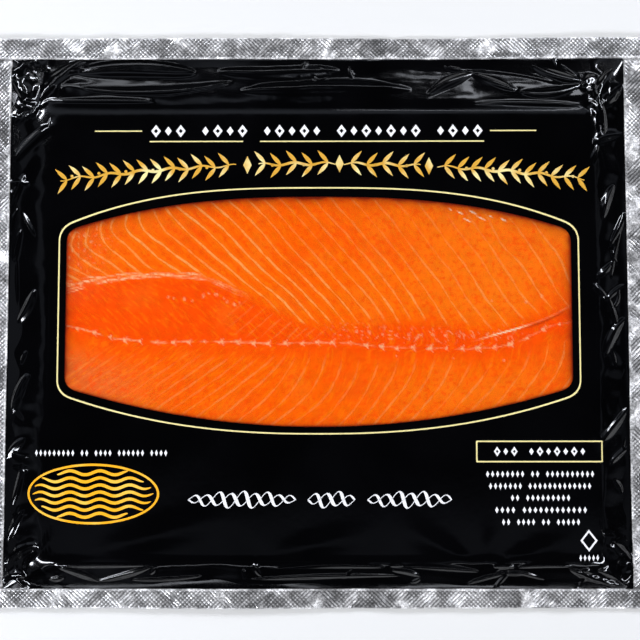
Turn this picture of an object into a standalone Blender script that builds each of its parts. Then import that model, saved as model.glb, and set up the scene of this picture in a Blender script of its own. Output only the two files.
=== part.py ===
"""Vacuum pack of sliced smoked salmon, lying on its back with the printed front up.

Four pieces, from the table up: the back film, the fillet, the front film, and the printed panel with
its arched window.  The two films meet in a sealed border that is a little wavy.  Metres, +Z up, +Y
towards the pack's top edge, origin at the middle of the base.

Every film is lofted from closed rings that run round the pack.  A ring is a rounded rectangle whose
top and bottom edges may bow outwards, so the same function draws the pack's outline, the shoulder of
the fillet and the window.
"""

import math

import bmesh
import bpy

MM = 0.001

# Outline of the pouch and of its printed panel
PACK_WIDTH, PACK_DEPTH = 241.0 * MM, 206.0 * MM
SEAL_SIDE, SEAL_TOP, SEAL_BOTTOM = 9.0 * MM, 8.1 * MM, 7.1 * MM
EDGE_WANDER = 0.45 * MM

# The fillet under the film, as left, right, bottom and top edges
FILLET_BOX = (-95.0 * MM, 98.5 * MM, -85.0 * MM, 75.0 * MM)
FILLET_THICKNESS = 6.4 * MM
FILLET_CROWN = 0.35 * MM
FILLET_EDGE, FILLET_FOOT = 2.6 * MM, 0.6
SEAM_Y, SEAM_HALF_WIDTH, SEAM_DEPTH = -9.2 * MM, 4.0 * MM, 0.35 * MM
SEAM_REACH, SEAM_PINCH = 0.96, 0.1

# The arched window in the printed panel
WINDOW_BOX = (-89.5 * MM, 90.3 * MM, -39.0 * MM, 43.0 * MM)
WINDOW_SAG_TOP, WINDOW_SAG_BOTTOM = 12.1 * MM, 13.9 * MM
WINDOW_POWER_TOP, WINDOW_POWER_BOTTOM = 2.5, 2.0

# Films: thickness, and the gap that touching pieces keep
FILM = 0.3 * MM
GAP = 0.3 * MM

# The sealed border lies this far off the table, with waves this high
BORDER_LIFT, BORDER_WAVE = 1.2 * MM, 0.75 * MM
SHOULDER_MARGIN = 1.6 * MM
FACE_CROWN = 0.15 * MM
SLOPE_POWER = 1.5
PLEAT_HEIGHT, PLEAT_COUNT = 0.65 * MM, 30

# How far each outline's corners are rounded
EDGE_CORNER, SEAL_CORNER, SHOULDER_CORNER, WINDOW_CORNER = 1.5 * MM, 0.6 * MM, 7.0 * MM, 4.3 * MM

# Points on each ring, and where the rings lie between one outline and the next
SIDE_POINTS_X, SIDE_POINTS_Y, CORNER_POINTS = 26, 20, 3
SLOPE_SHARES = (0.0, 0.22, 0.45, 0.68, 0.88)
FACE_SHARES = (0.0, 0.5, 1.0)
BACK_SHARES = (0.0, 0.3, 0.62, 0.95)
CROWN_SHARES = (0.35, 0.7, 0.9, 1.0)


def clear_scene():
    for obj in list(bpy.data.objects):
        bpy.data.objects.remove(obj, do_unlink=True)


def material(name, colour, roughness, metallic=0.0, alpha=1.0):
    """A Principled finish with one colour."""
    made = bpy.data.materials.new(name)
    made.use_nodes = True
    shader = made.node_tree.nodes["Principled BSDF"]
    shader.inputs["Base Color"].default_value = (*colour, 1.0)
    shader.inputs["Roughness"].default_value = roughness
    shader.inputs["Metallic"].default_value = metallic
    shader.inputs["Alpha"].default_value = alpha
    return made


def smoothstep(t):
    t = min(1.0, max(0.0, t))
    return t * t * (3.0 - 2.0 * t)


def corner(start, tip, end):
    """Points of the quadratic curve that rounds a corner, without its two ends."""
    points = []
    for i in range(1, CORNER_POINTS + 1):
        t = i / (CORNER_POINTS + 1)
        a, b, c = (1 - t) ** 2, 2 * t * (1 - t), t * t
        points.append(tuple(a * start[k] + b * tip[k] + c * end[k] for k in (0, 1)))
    return points


def outline(box, reach, sags=(0.0, 0.0), powers=(2.0, 2.0)):
    """A closed ring, clockwise from the top left corner.

    The top edge's height falls off as |x|^power from its middle to the first sag below it at the
    corners, and the bottom edge rises to the second sag.  Each corner is rounded over the reach.
    """
    left, right, bottom, top = box
    middle, half = (left + right) / 2, (right - left) / 2

    def top_at(x):
        return top - sags[0] * abs((x - middle) / half) ** powers[0]

    def bottom_at(x):
        return bottom + sags[1] * abs((x - middle) / half) ** powers[1]

    def spaced(start, end, count):
        return [start + (end - start) * i / (count - 1) for i in range(count)]

    xs = spaced(left + reach, right - reach, SIDE_POINTS_X)
    ys = spaced(top_at(right) - reach, bottom_at(right) + reach, SIDE_POINTS_Y)
    top_edge = [(x, top_at(x)) for x in xs]
    right_edge = [(right, y) for y in ys]
    bottom_edge = [(x, bottom_at(x)) for x in reversed(xs)]
    left_edge = [(left, y) for y in reversed(ys)]
    ring = []
    edges = (top_edge, right_edge, bottom_edge, left_edge)
    tips = (
        (right, top_at(right)),
        (right, bottom_at(right)),
        (left, bottom_at(left)),
        (left, top_at(left)),
    )
    for i, edge in enumerate(edges):
        following = edges[(i + 1) % 4]
        ring += edge + corner(edge[-1], tips[i], following[0])
    return ring


def grown(box, by):
    left, right, bottom, top = box
    return (left - by, right + by, bottom - by, top + by)


def between(ring_a, ring_b, share):
    """The ring that lies this share of the way from one ring to another."""
    return [
        (a[0] + (b[0] - a[0]) * share, a[1] + (b[1] - a[1]) * share)
        for a, b in zip(ring_a, ring_b)
    ]


def turn_of(point):
    """Angle of a point round the pack, as if the pack were square."""
    return math.atan2(point[1] / PACK_DEPTH, point[0] / PACK_WIDTH)


def border_height(point):
    """Height of the sealed border's underside: a few slow waves round the pack."""
    turn = turn_of(point)
    wave = (
        0.45 * math.sin(3 * turn + 0.6)
        + 0.35 * math.sin(7 * turn + 2.1)
        + 0.20 * math.sin(12 * turn + 4.0)
    )
    return BORDER_LIFT + BORDER_WAVE * wave


def pleat_height(point, climb):
    """Ridges that run up the slope between the seal and the shoulder, strongest at the corners."""
    turn = turn_of(point)
    cornerness = abs(math.sin(2 * turn)) ** 2
    ridge = abs(math.sin(PLEAT_COUNT / 2 * turn + 0.8 * math.sin(3 * turn))) ** 1.5
    return PLEAT_HEIGHT * (0.25 + 0.75 * cornerness) * ridge * math.sin(math.pi * climb)


def wandered(ring):
    """The cut edge wanders in and out a little.  It stays inside the pack's box."""
    moved = []
    for x, y in ring:
        turn = turn_of((x, y))
        by = EDGE_WANDER * (0.5 + 0.3 * math.sin(5 * turn + 1.0) + 0.2 * math.sin(11 * turn))
        moved.append((x * (1 - by / PACK_WIDTH), y * (1 - by / PACK_DEPTH)))
    return moved


PACK_BOX = (-PACK_WIDTH / 2, PACK_WIDTH / 2, -PACK_DEPTH / 2, PACK_DEPTH / 2)
PANEL_BOX = (
    PACK_BOX[0] + SEAL_SIDE,
    PACK_BOX[1] - SEAL_SIDE,
    PACK_BOX[2] + SEAL_BOTTOM,
    PACK_BOX[3] - SEAL_TOP,
)
SHOULDER_BOX = grown(FILLET_BOX, SHOULDER_MARGIN)
FILLET_BASE = FILM + GAP
FACE_HEIGHT = FILLET_BASE + FILLET_THICKNESS + FILLET_CROWN + GAP

EDGE_RING = wandered(outline(PACK_BOX, EDGE_CORNER))
SEAL_RING = outline(PANEL_BOX, SEAL_CORNER)
SHOULDER_RING = outline(SHOULDER_BOX, SHOULDER_CORNER)
WINDOW_RING = outline(
    WINDOW_BOX,
    WINDOW_CORNER,
    (WINDOW_SAG_TOP, WINDOW_SAG_BOTTOM),
    (WINDOW_POWER_TOP, WINDOW_POWER_BOTTOM),
)


def slope_rings():
    """Rings of the front film from the seal up to the shoulder, with their heights."""
    rings = []
    for share in SLOPE_SHARES:
        flat = between(SEAL_RING, SHOULDER_RING, share)
        ring = []
        for point in flat:
            low = border_height(point) + FILM + GAP
            height = low + (FACE_HEIGHT - low) * share**SLOPE_POWER
            ring.append((*point, height + pleat_height(point, share)))
        rings.append(ring)
    return rings


def face_rings():
    """Rings of the front film over the fillet, nearly flat, from the shoulder in to the window."""
    rings = []
    for share in FACE_SHARES:
        flat = between(SHOULDER_RING, WINDOW_RING, share)
        rings.append([(*point, FACE_HEIGHT + FACE_CROWN * share) for point in flat])
    return rings


def lofted(rings, filled):
    """A surface through closed rings of equal length.  filled closes the last ring's middle."""
    made = bmesh.new()
    rows = [[made.verts.new(point) for point in ring] for ring in rings]
    count = len(rows[0])
    for outer, inner in zip(rows, rows[1:]):
        for i in range(count):
            j = (i + 1) % count
            made.faces.new((outer[i], outer[j], inner[j], inner[i]))
    if filled:
        close_middle(made, rows[-1])
    bmesh.ops.recalc_face_normals(made, faces=made.faces)
    return made


def close_middle(made, ring):
    """Fills a ring with straight strips between its top edge and its bottom edge."""
    top = ring[:SIDE_POINTS_X]
    start = SIDE_POINTS_X + CORNER_POINTS + SIDE_POINTS_Y + CORNER_POINTS
    bottom = list(reversed(ring[start : start + SIDE_POINTS_X]))
    for i in range(SIDE_POINTS_X - 1):
        made.faces.new((top[i], top[i + 1], bottom[i + 1], bottom[i]))
    right = ring[SIDE_POINTS_X - 1 : start + 1]
    left = ring[start + SIDE_POINTS_X - 1 :] + ring[:1]
    made.faces.new(right)
    made.faces.new(left)


def placed(name, made, finish):
    mesh = bpy.data.meshes.new(name)
    made.to_mesh(mesh)
    made.free()
    mesh.materials.append(finish)
    obj = bpy.data.objects.new(name, mesh)
    bpy.context.scene.collection.objects.link(obj)
    mesh.shade_smooth()
    mesh.set_sharp_from_angle(angle=math.radians(40))
    return obj


def thickened(obj):
    """Turns a surface that faces up into a film, which grows upwards from it."""
    solid = obj.modifiers.new("film", "SOLIDIFY")
    solid.thickness = FILM
    solid.offset = 1.0
    return obj


def facing_up(made):
    """Makes an open surface face up, whichever way its loops ran."""
    made.normal_update()
    if sum(face.normal.z * face.calc_area() for face in made.faces) < 0:
        bmesh.ops.reverse_faces(made, faces=made.faces)
    return made


def back_film(finish):
    """The lower web: flat under the fillet, rising to the sealed border."""
    rings = [[(*p, border_height(p)) for p in EDGE_RING]]
    for share in BACK_SHARES:
        flat = between(SEAL_RING, SHOULDER_RING, share)
        rings.append([(*p, border_height(p) * (1 - smoothstep(share / BACK_SHARES[-1]))) for p in flat])
    made = facing_up(lofted(rings, filled=True))
    return thickened(placed("back_film", made, finish))


def front_film(finish):
    """The upper web: the sealed border, the pleated slope and the face over the fillet."""
    edge = [(*p, border_height(p) + FILM + GAP) for p in EDGE_RING]
    rings = [edge] + slope_rings() + face_rings()
    made = facing_up(lofted(rings, filled=True))
    return thickened(placed("front_film", made, finish))


def printed_panel(finish):
    """The dark print on the front film, from seal to seal, with the arched window left open."""
    lift = FILM + GAP
    rings = slope_rings() + face_rings()
    rings = [[(x, y, z + lift) for x, y, z in ring] for ring in rings]
    made = facing_up(lofted(rings, filled=False))
    return thickened(placed("printed_panel", made, finish))


def fillet(finish):
    """The salmon: a slab with rounded edges, a crowned top and a shallow seam along it."""
    left, right, bottom, top = FILLET_BOX
    base = FILLET_BASE
    middle = ((left + right) / 2, (bottom + top) / 2)

    def surface(point):
        x = (point[0] - middle[0]) / ((right - left) / 2)
        y = (point[1] - middle[1]) / ((top - bottom) / 2)
        crown = FILLET_CROWN * (1 - x**4) * (1 - y**4)
        seam = SEAM_DEPTH * math.exp(-(((point[1] - SEAM_Y) / SEAM_HALF_WIDTH) ** 2))
        return base + FILLET_THICKNESS + crown - seam * (1 - x**4)

    def ring_at(angle):
        """The slab's outline, drawn in at the ends of a half turn round its rounded edge."""
        inset = FILLET_EDGE * (1 - math.sin(angle))
        return outline(grown(FILLET_BOX, -inset), SHOULDER_CORNER)

    rings = []
    for step in range(4):
        angle = math.pi / 2 * step / 3
        height = base + FILLET_EDGE * FILLET_FOOT * (1 - math.cos(angle))
        rings.append([(*p, height) for p in ring_at(angle)])
    for step in range(3):
        angle = math.pi / 2 * (1 + step / 2)
        drop = FILLET_EDGE * (1 + math.cos(angle))
        rings.append([(*p, surface(p) - drop) for p in ring_at(angle)])
    flat = ring_at(math.pi)
    seam_ring = [(p[0] * SEAM_REACH, SEAM_Y + (p[1] - SEAM_Y) * SEAM_PINCH) for p in flat]
    for share in CROWN_SHARES:
        rings.append([(*p, surface(p)) for p in between(flat, seam_ring, share)])
    made = lofted(rings, filled=True)
    made.verts.ensure_lookup_table()
    bottom_ring = made.verts[: len(rings[0])]
    made.faces.new(bottom_ring)
    bmesh.ops.recalc_face_normals(made, faces=made.faces)
    return placed("salmon_fillet", made, finish)


def build():
    clear_scene()
    clear_film = material("clear film", (0.62, 0.63, 0.65), 0.25, alpha=0.35)
    black_print = material("black print", (0.004, 0.004, 0.005), 0.2)
    salmon = material("smoked salmon", (0.95, 0.16, 0.01), 0.35)
    back_film(clear_film)
    fillet(salmon)
    front_film(clear_film)
    printed_panel(black_print)


build()
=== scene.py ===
"""Looks of a flat vacuum pack of smoked salmon, made round its CAD frame.

The pack lies on its back.  Every piece reads its place from the frame's boxes, in metres, +Z up.
From the table up: a plain back film, the slab of fish, a clear film over the window, the printed
film with its pleats, the knurled heat seal all round, and the print as thin shapes of gold and white.
"""

import math
from functools import partial

import bpy
import numpy as np
from bpy.props import FloatProperty, FloatVectorProperty, PointerProperty
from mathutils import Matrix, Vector


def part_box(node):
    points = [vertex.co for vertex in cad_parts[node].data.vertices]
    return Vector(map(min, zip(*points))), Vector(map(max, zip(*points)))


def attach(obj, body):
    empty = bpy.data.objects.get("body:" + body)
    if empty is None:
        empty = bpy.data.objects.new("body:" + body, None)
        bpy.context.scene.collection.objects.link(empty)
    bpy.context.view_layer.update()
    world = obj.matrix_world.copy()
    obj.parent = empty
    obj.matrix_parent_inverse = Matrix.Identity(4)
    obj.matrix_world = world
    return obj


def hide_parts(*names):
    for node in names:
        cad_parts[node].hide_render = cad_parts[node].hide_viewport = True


bl_info = {
    "name": "Smoked salmon pack",
    "version": (1, 0, 0),
    "blender": (4, 5, 0),
    "location": "View3D > Sidebar > Fish pack",
    "description": "Builds the visible pieces of a vacuum pack of smoked salmon",
    "category": "Object",
}

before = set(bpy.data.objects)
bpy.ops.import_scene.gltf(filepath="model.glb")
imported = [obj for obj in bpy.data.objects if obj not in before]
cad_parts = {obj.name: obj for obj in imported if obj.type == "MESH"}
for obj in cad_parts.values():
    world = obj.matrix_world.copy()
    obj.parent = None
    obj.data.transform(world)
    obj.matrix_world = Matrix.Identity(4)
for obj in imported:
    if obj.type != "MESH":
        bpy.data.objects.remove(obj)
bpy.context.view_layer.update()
BODY = "root"
MM = 0.001


def node_box(name):
    """A CAD node's plan as left, right, bottom and top, and its lowest and highest z."""
    low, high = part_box(name)
    return (low.x, high.x, low.y, high.y), (low.z, high.z)


def grown(box, by):
    left, right, bottom, top = box
    return (left - by, right + by, bottom - by, top + by)


PACK_BOX, PACK_RISE = node_box("front_film")
PANEL_BOX, _ = node_box("printed_panel")
FISH_BOX, FISH_RISE = node_box("salmon_fillet")
SHOULDER_BOX = grown(FISH_BOX, 1.6 * MM)
PACK_WIDTH = PACK_BOX[1] - PACK_BOX[0]
PACK_DEPTH = PACK_BOX[3] - PACK_BOX[2]

# The window: its edges, how far its arched top and bottom sag at the corners, and its corners
WINDOW_BOX = (-89.5 * MM, 90.3 * MM, -39.0 * MM, 43.0 * MM)
WINDOW_SAGS, WINDOW_POWERS = (12.1 * MM, 13.9 * MM), (2.5, 2.0)
WINDOW_CORNER, SHOULDER_CORNER, SEAL_CORNER = 4.3 * MM, 7.0 * MM, 0.6 * MM

# The film's shape, as the CAD has it
BORDER_LIFT, BORDER_WAVE, EDGE_WANDER = 1.2 * MM, 0.75 * MM, 0.45 * MM
WELD_LIFT = 0.45 * MM
FACE_RISE = FISH_RISE[1] + 0.6 * MM
FILM = 0.1 * MM
FLESH_DEPTH = 0.25 * MM

# Points along a ring's top, side and corner
FINE_RING = (410, 340, 6)
PLAIN_RING = (120, 100, 4)


def hex_colour(code, alpha=1.0):
    """An sRGB hex colour as linear RGBA."""
    srgb = np.array([int(code[i : i + 2], 16) / 255 for i in (0, 2, 4)])
    linear = np.where(srgb <= 0.04045, srgb / 12.92, ((srgb + 0.055) / 1.055) ** 2.4)
    return (*linear.tolist(), alpha)


# ---------------------------------------------------------------- settings


def colour_property(name, code, description):
    return FloatVectorProperty(
        name=name,
        description=description,
        subtype="COLOR",
        size=4,
        min=0.0,
        max=1.0,
        default=hex_colour(code),
    )


def length_property(name, default, description):
    return FloatProperty(name=name, description=description, default=default, unit="LENGTH")


class FishSettings(bpy.types.PropertyGroup):
    flesh: colour_property("Flesh", "ff6500", "Lean flesh between the bands of fat")
    red_flesh: colour_property("Red flesh", "fe4c00", "Redder flesh along the middle line")
    pale_flesh: colour_property("Pale flesh", "ff7a10", "Fatter flesh towards the slab's edges")
    fat: colour_property("Fat", "ffa456", "Fat in the thin sheets between the muscle bands")
    marks: colour_property("Marks", "ffb47c", "Sinew that shows as pale marks on the middle line")
    edge: colour_property("Edge", "7c1e08", "Flesh in the shade of the window's edge")
    line_width: length_property("Line width", 0.62 * MM, "Width of a sheet of fat as cut")


class FilmSettings(bpy.types.PropertyGroup):
    ink: colour_property("Ink", "030304", "Black ink under the film's gloss")
    seal: colour_property("Seal", "dad9d9", "Silvery heat-sealed film")
    knurl_pitch: length_property("Knurl pitch", 1.1 * MM, "Distance between the knurl's lines")
    knurl_height: length_property("Knurl height", 0.30 * MM, "Height of the knurl's pyramids")


class PrintSettings(bpy.types.PropertyGroup):
    gold: colour_property("Gold", "f3e5a0", "Pale gold of the thin lines")
    deep_gold: colour_property("Deep gold", "dba63a", "Deeper gold of the garland's shaded parts")
    amber: colour_property("Amber", "ffb31c", "Amber gold of the medallion")
    light_amber: colour_property("Light amber", "ffc84e", "Lighter gold of the medallion")
    white: colour_property("White", "f3f3f5", "White ink")
    line_width: length_property("Line width", 0.5 * MM, "Width of the window's gold outline")


# ---------------------------------------------------------------- fields and curves


def smoothstep(low, high, value):
    t = np.clip((value - low) / (high - low), 0.0, 1.0)
    return t * t * (3.0 - 2.0 * t)


def noise(x, y, size, seed):
    """Smooth random field of about -1 to 1.

    Gradient noise: each corner of a square lattice has a random direction, its dot product with the
    way to the point is taken, and the four are blended with a quintic ramp.
    """
    angles = np.random.default_rng(seed).uniform(0, 2 * np.pi, (64, 64))
    u, v = x / size + 1000.0, y / size + 1000.0
    i, j = np.floor(u).astype(int), np.floor(v).astype(int)
    fu, fv = u - i, v - j

    def corner(di, dj):
        angle = angles[(i + di) % 64, (j + dj) % 64]
        return np.cos(angle) * (fu - di) + np.sin(angle) * (fv - dj)

    su = fu**3 * (fu * (6 * fu - 15) + 10)
    sv = fv**3 * (fv * (6 * fv - 15) + 10)
    low = corner(0, 0) * (1 - su) + corner(1, 0) * su
    high = corner(0, 1) * (1 - su) + corner(1, 1) * su
    return 1.6 * (low * (1 - sv) + high * sv)


def curve_through(points):
    """A smooth y(x) through given points: cubic pieces with the slope of their neighbours."""
    xs, ys = np.array(points, float).T * MM
    slopes = np.gradient(ys, xs)

    def value(x):
        x = np.clip(x, xs[0], xs[-1])
        k = np.clip(np.searchsorted(xs, x) - 1, 0, len(xs) - 2)
        width = xs[k + 1] - xs[k]
        t = (x - xs[k]) / width
        rise = 3 * t**2 - 2 * t**3
        tangents = t * (1 - t) ** 2 * slopes[k] - t**2 * (1 - t) * slopes[k + 1]
        return ys[k] * (1 - rise) + ys[k + 1] * rise + tangents * width

    return value


def window_edge(x, inset=0.0):
    """Height of the window's top and bottom edges at x: arcs that sag as |x|^power."""
    left, right, bottom, top = WINDOW_BOX
    across = np.abs((x - (left + right) / 2) / ((right - left) / 2))
    upper = top - inset - WINDOW_SAGS[0] * across ** WINDOW_POWERS[0]
    return upper, bottom + inset + WINDOW_SAGS[1] * across ** WINDOW_POWERS[1]


def ring(box, reach, sags=(0.0, 0.0), powers=(2.0, 2.0), counts=FINE_RING):
    """A closed outline, clockwise from the top left corner.

    The top edge falls off as |x|^power towards its ends and the bottom edge rises the same way.
    Each corner is a quadratic curve that leaves the edges at reach from the corner.
    """
    along, down, turn = counts
    left, right, bottom, top = box
    middle, half = (left + right) / 2, (right - left) / 2

    def top_at(x):
        return top - sags[0] * np.abs((x - middle) / half) ** powers[0]

    def bottom_at(x):
        return bottom + sags[1] * np.abs((x - middle) / half) ** powers[1]

    xs = np.linspace(left + reach, right - reach, along)
    ys = np.linspace(top_at(right) - reach, bottom_at(right) + reach, down)
    edges = (
        np.column_stack([xs, top_at(xs)]),
        np.column_stack([np.full(down, right), ys]),
        np.column_stack([xs[::-1], bottom_at(xs[::-1])]),
        np.column_stack([np.full(down, left), ys[::-1]]),
    )
    tips = (
        (right, top_at(right)),
        (right, bottom_at(right)),
        (left, bottom_at(left)),
        (left, top_at(left)),
    )
    t = (np.arange(turn) + 1.0)[:, None] / (turn + 1)
    parts = []
    for i, edge in enumerate(edges):
        start, end = edge[-1], edges[(i + 1) % 4][0]
        bend = (1 - t) ** 2 * start + 2 * t * (1 - t) * np.array(tips[i]) + t**2 * end
        parts += [edge, bend]
    return np.vstack(parts)


def seal_ring(counts=FINE_RING, grow=0.0):
    return ring(grown(PANEL_BOX, grow), SEAL_CORNER, counts=counts)


def shoulder_ring(counts=FINE_RING):
    return ring(SHOULDER_BOX, SHOULDER_CORNER, counts=counts)


def window_ring(counts=FINE_RING, grow=0.0, corner=WINDOW_CORNER):
    return ring(grown(WINDOW_BOX, grow), corner, WINDOW_SAGS, WINDOW_POWERS, counts)


def turn_of(x, y):
    """Angle of a point round the pack, as if the pack were square."""
    return np.arctan2(y / PACK_DEPTH, x / PACK_WIDTH)


def border_height(x, y):
    """Height of the sealed border: a few slow waves round the pack, as in the CAD."""
    turn = turn_of(x, y)
    wave = 0.45 * np.sin(3 * turn + 0.6) + 0.35 * np.sin(7 * turn + 2.1)
    wave += 0.20 * np.sin(12 * turn + 4.0)
    return BORDER_LIFT + WELD_LIFT + BORDER_WAVE * wave


def climb_at(x, y):
    """How far a point is from the seal, at 0, to the shoulder over the fish's rim, at 1.

    Each side gives a share that grows evenly from the seal inwards; the smallest of the four counts,
    through a smooth minimum that rounds the corners.
    """
    seal, shoulder = PANEL_BOX, SHOULDER_BOX
    shares = np.stack([
        (x - seal[0]) / (shoulder[0] - seal[0]),
        (x - seal[1]) / (shoulder[1] - seal[1]),
        (y - seal[2]) / (shoulder[2] - seal[2]),
        (y - seal[3]) / (shoulder[3] - seal[3]),
    ])
    least = shares.min(0)
    return least - np.log(np.exp(-9.0 * (shares - least)).sum(0)) / 9.0


def slope_rise(climb):
    """Share of the way up the slope: slow at the seal, level again where it meets the face."""
    t = np.clip(climb / 1.2, 0.0, 1.0)
    return 1.0 - (1.0 - t**1.5) ** 1.8


# Pleats that stand on the film round the fish, in millimetres: where each starts and ends, how far
# its middle bows to the left of that line, its half width, and its height as a share of that.
PLEATS = (
    # top left corner
    (-85, 95, -101, 77.5, -2.1, 1.9, 0.52),
    (-97, 87.5, -84, 92, 0.6, 1.3, 0.50),
    (-111, 88, -106.5, 79.5, 0.4, 1.5, 0.60),
    (-101, 78, -108, 79.5, 0.5, 0.9, 0.60),
    (-101, 77.5, -104.5, 72.5, 0.2, 1.0, 0.60),
    (-103, 75, -96, 78.6, 0.5, 0.8, 0.55),
    (-98, 78.4, -58, 78.2, 0.3, 0.9, 0.40),
    (-112, 90, -103.5, 94.5, 0.3, 1.1, 0.62),
    (-111, 94.5, -103, 91, 0.4, 0.9, 0.55),
    (-110, 57, -93, 69.5, 1.6, 1.7, 0.48),
    (-86, 83.5, -30, 86, -2.2, 1.5, 0.34),
    (-88, 90, -44, 89.5, 1.8, 3.2, 0.30),
    # top edge and right corner
    (-36, 90, 8, 90.5, -1.0, 2.6, 0.26),
    (-28, 82, 34, 82.5, 1.2, 2.4, 0.24),
    (40, 80.5, 57, 89.5, 0.9, 1.6, 0.46),
    (56, 89.5, 72, 82, -0.4, 1.3, 0.44),
    (50, 90.5, 90, 84, 2.0, 0.7, 0.42),
    (78, 92.5, 96, 86, -1.0, 1.8, 0.50),
    (73, 81.5, 95, 84.5, -1.6, 1.6, 0.42),
    (88, 93, 95.5, 86.5, 0.4, 0.7, 0.55),
    (96, 83.5, 101.5, 88, 0.9, 1.2, 0.62),
    (101, 77, 108, 91, 1.2, 1.6, 0.66),
    (101.5, 76.5, 111, 84.5, -1.0, 1.3, 0.66),
    (96, 74.5, 102.5, 76.5, 0.9, 1.0, 0.62),
    (102, 78, 103, 64, 0.9, 1.0, 0.62),
    (98.5, 76, 96.5, 66, -0.5, 1.3, 0.60),
    (56, 77, 98, 76, 0.5, 0.8, 0.40),
    # right side
    (97, 61, 111, 67, 0.9, 1.3, 0.50),
    (97, 52, 101, 62, 0.4, 1.1, 0.50),
    (102, 35, 107, 48, 0.9, 1.4, 0.52),
    (105, 26, 111, 38, -0.7, 1.3, 0.50),
    (105, 14, 110, 33, 0.6, 0.7, 0.50),
    (99, 14, 106, 20, -0.5, 1.0, 0.50),
    (97, 12, 103.5, 6, 0.4, 0.9, 0.52),
    (103, 6, 111, 12, 0.5, 0.9, 0.52),
    (103.5, 7, 107.5, -6, 0.4, 0.8, 0.52),
    (102, -14, 110.5, 0, 0.9, 1.6, 0.46),
    (97, -46, 111, -32, -0.9, 1.4, 0.46),
    (103, -52, 111, -46, 0.4, 1.0, 0.50),
    (103, -79, 112, -89, 0.9, 1.4, 0.55),
    # bottom edge
    (98, -89, 111, -95, 0.5, 0.8, 0.55),
    (88, -88.5, 107, -95, -0.5, 1.0, 0.50),
    (52, -94.5, 70, -89.5, 0.5, 0.7, 0.50),
    (69, -89.5, 80, -92.5, 0.2, 0.6, 0.50),
    (70, -88, 89, -87.6, 0.7, 0.8, 0.46),
    (30, -87.5, 57, -89.5, 0.5, 1.0, 0.36),
    (-14, -88.5, 24, -88, 0.8, 0.9, 0.34),
    (-24, -92.5, 30, -91, 0.6, 0.8, 0.34),
    (-92, -87.5, -58, -87, 0.5, 1.1, 0.46),
    (-91, -88, -77, -93.5, 0.4, 1.1, 0.50),
    (-78, -93.5, -57, -87.2, -0.5, 0.9, 0.52),
    (-66, -92.5, -40, -91, -0.5, 0.7, 0.46),
    # bottom left corner and left side
    (-111, -87, -97.5, -80, 1.4, 1.6, 0.50),
    (-103, -89.5, -91, -76.5, 0.2, 0.9, 0.55),
    (-112, -93, -103, -91, 0.8, 1.3, 0.62),
    (-110, -90, -104, -95.5, 0.2, 1.0, 0.60),
    (-111, 40, -106, 52, 0.5, 1.3, 0.40),
    (-109.5, 20, -107, 32, 0.5, 1.1, 0.46),
    (-108, 4, -108.5, 21, 0.2, 0.6, 0.46),
    (-108, -2, -101, 10, -0.6, 1.5, 0.46),
    (-109, -34, -103.5, -20, 0.6, 1.6, 0.44),
    (-111, -50, -104, -43, 0.5, 1.3, 0.46),
    (-109, -67, -105, -52, -0.5, 1.2, 0.46),
    (-110, -79, -104, -68, 0.4, 1.2, 0.42),
)


def pleat(x, y, start, end, bow, half_width, share, lean, power):
    """A raised leaf of film along a bowed line.

    Across it the height is exp(-|d|^power), d in half widths: rounded at 2, and with a level top
    between two steep flanks at 4.  The top leans to one side.  Along it the half width and height
    follow the square root of a parabola, down to a point.
    """
    run = np.subtract(end, start)
    length = np.hypot(*run)
    run = run / length
    t = ((x - start[0]) * run[0] + (y - start[1]) * run[1]) / length
    side = (y - start[1]) * run[0] - (x - start[0]) * run[1] - 4 * bow * t * (1 - t)
    taper = np.sqrt(np.clip(4 * t * (1 - t), 0.0, 1.0))
    d = side / (half_width * np.maximum(taper, 0.05))
    top = np.exp(-np.minimum(np.abs(d) ** power, 50.0)) * (1 + lean * np.clip(d, -1.5, 1.5))
    return half_width * share * taper * top


def scattered_pleats(count, seed):
    """Smaller pleats at random places on the slope, slanting across it."""
    random = np.random.default_rng(seed)
    middle = ring(grown(PANEL_BOX, -5.0 * MM), 4 * MM)
    found = []
    for i in random.integers(0, len(middle), count):
        at = middle[i] + random.normal(0, 2.0 * MM, 2)
        angle = turn_of(*at) + random.choice([-1, 1]) * random.uniform(0.3, 1.5)
        half = random.uniform(2.0, 5.5) * MM * np.array([np.cos(angle), np.sin(angle)])
        width = random.uniform(0.45, 0.9) * MM
        bow = random.normal(0, 0.6 * MM)
        share, lean, power = random.uniform((0.35, -0.7, 2.0), (0.65, 0.7, 4.0))
        found.append((at - half, at + half, bow, width, share, lean, power))
    return found


def crumple(x, y, size, seed, folds=5):
    """Straight-sided facets: a sum of triangle waves, each in its own direction and place."""
    random = np.random.default_rng(seed)
    total = 0.0
    for _ in range(folds):
        angle, phase = random.uniform(0, np.pi), random.uniform(0, 1)
        length = size * random.uniform(0.7, 1.5)
        bend = 0.12 * noise(x, y, 2.5 * size, random.integers(10**6))
        wave = (x * np.cos(angle) + y * np.sin(angle)) / length + phase + bend
        here = smoothstep(-0.15, 0.45, noise(x, y, 1.8 * size, random.integers(10**6)))
        total = total + here * length * (2 * np.abs(wave - np.floor(wave + 0.5)) - 0.5)
    return total / folds


def corner_nearness(x, y):
    """1 at the printed panel's corners, down to 0 about 28 mm away."""
    left, right, bottom, top = PANEL_BOX
    dx = np.minimum(np.abs(x - left), np.abs(x - right))
    dy = np.minimum(np.abs(y - bottom), np.abs(y - top))
    return 1.0 - smoothstep(4 * MM, 28 * MM, np.hypot(dx, dy))


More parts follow.
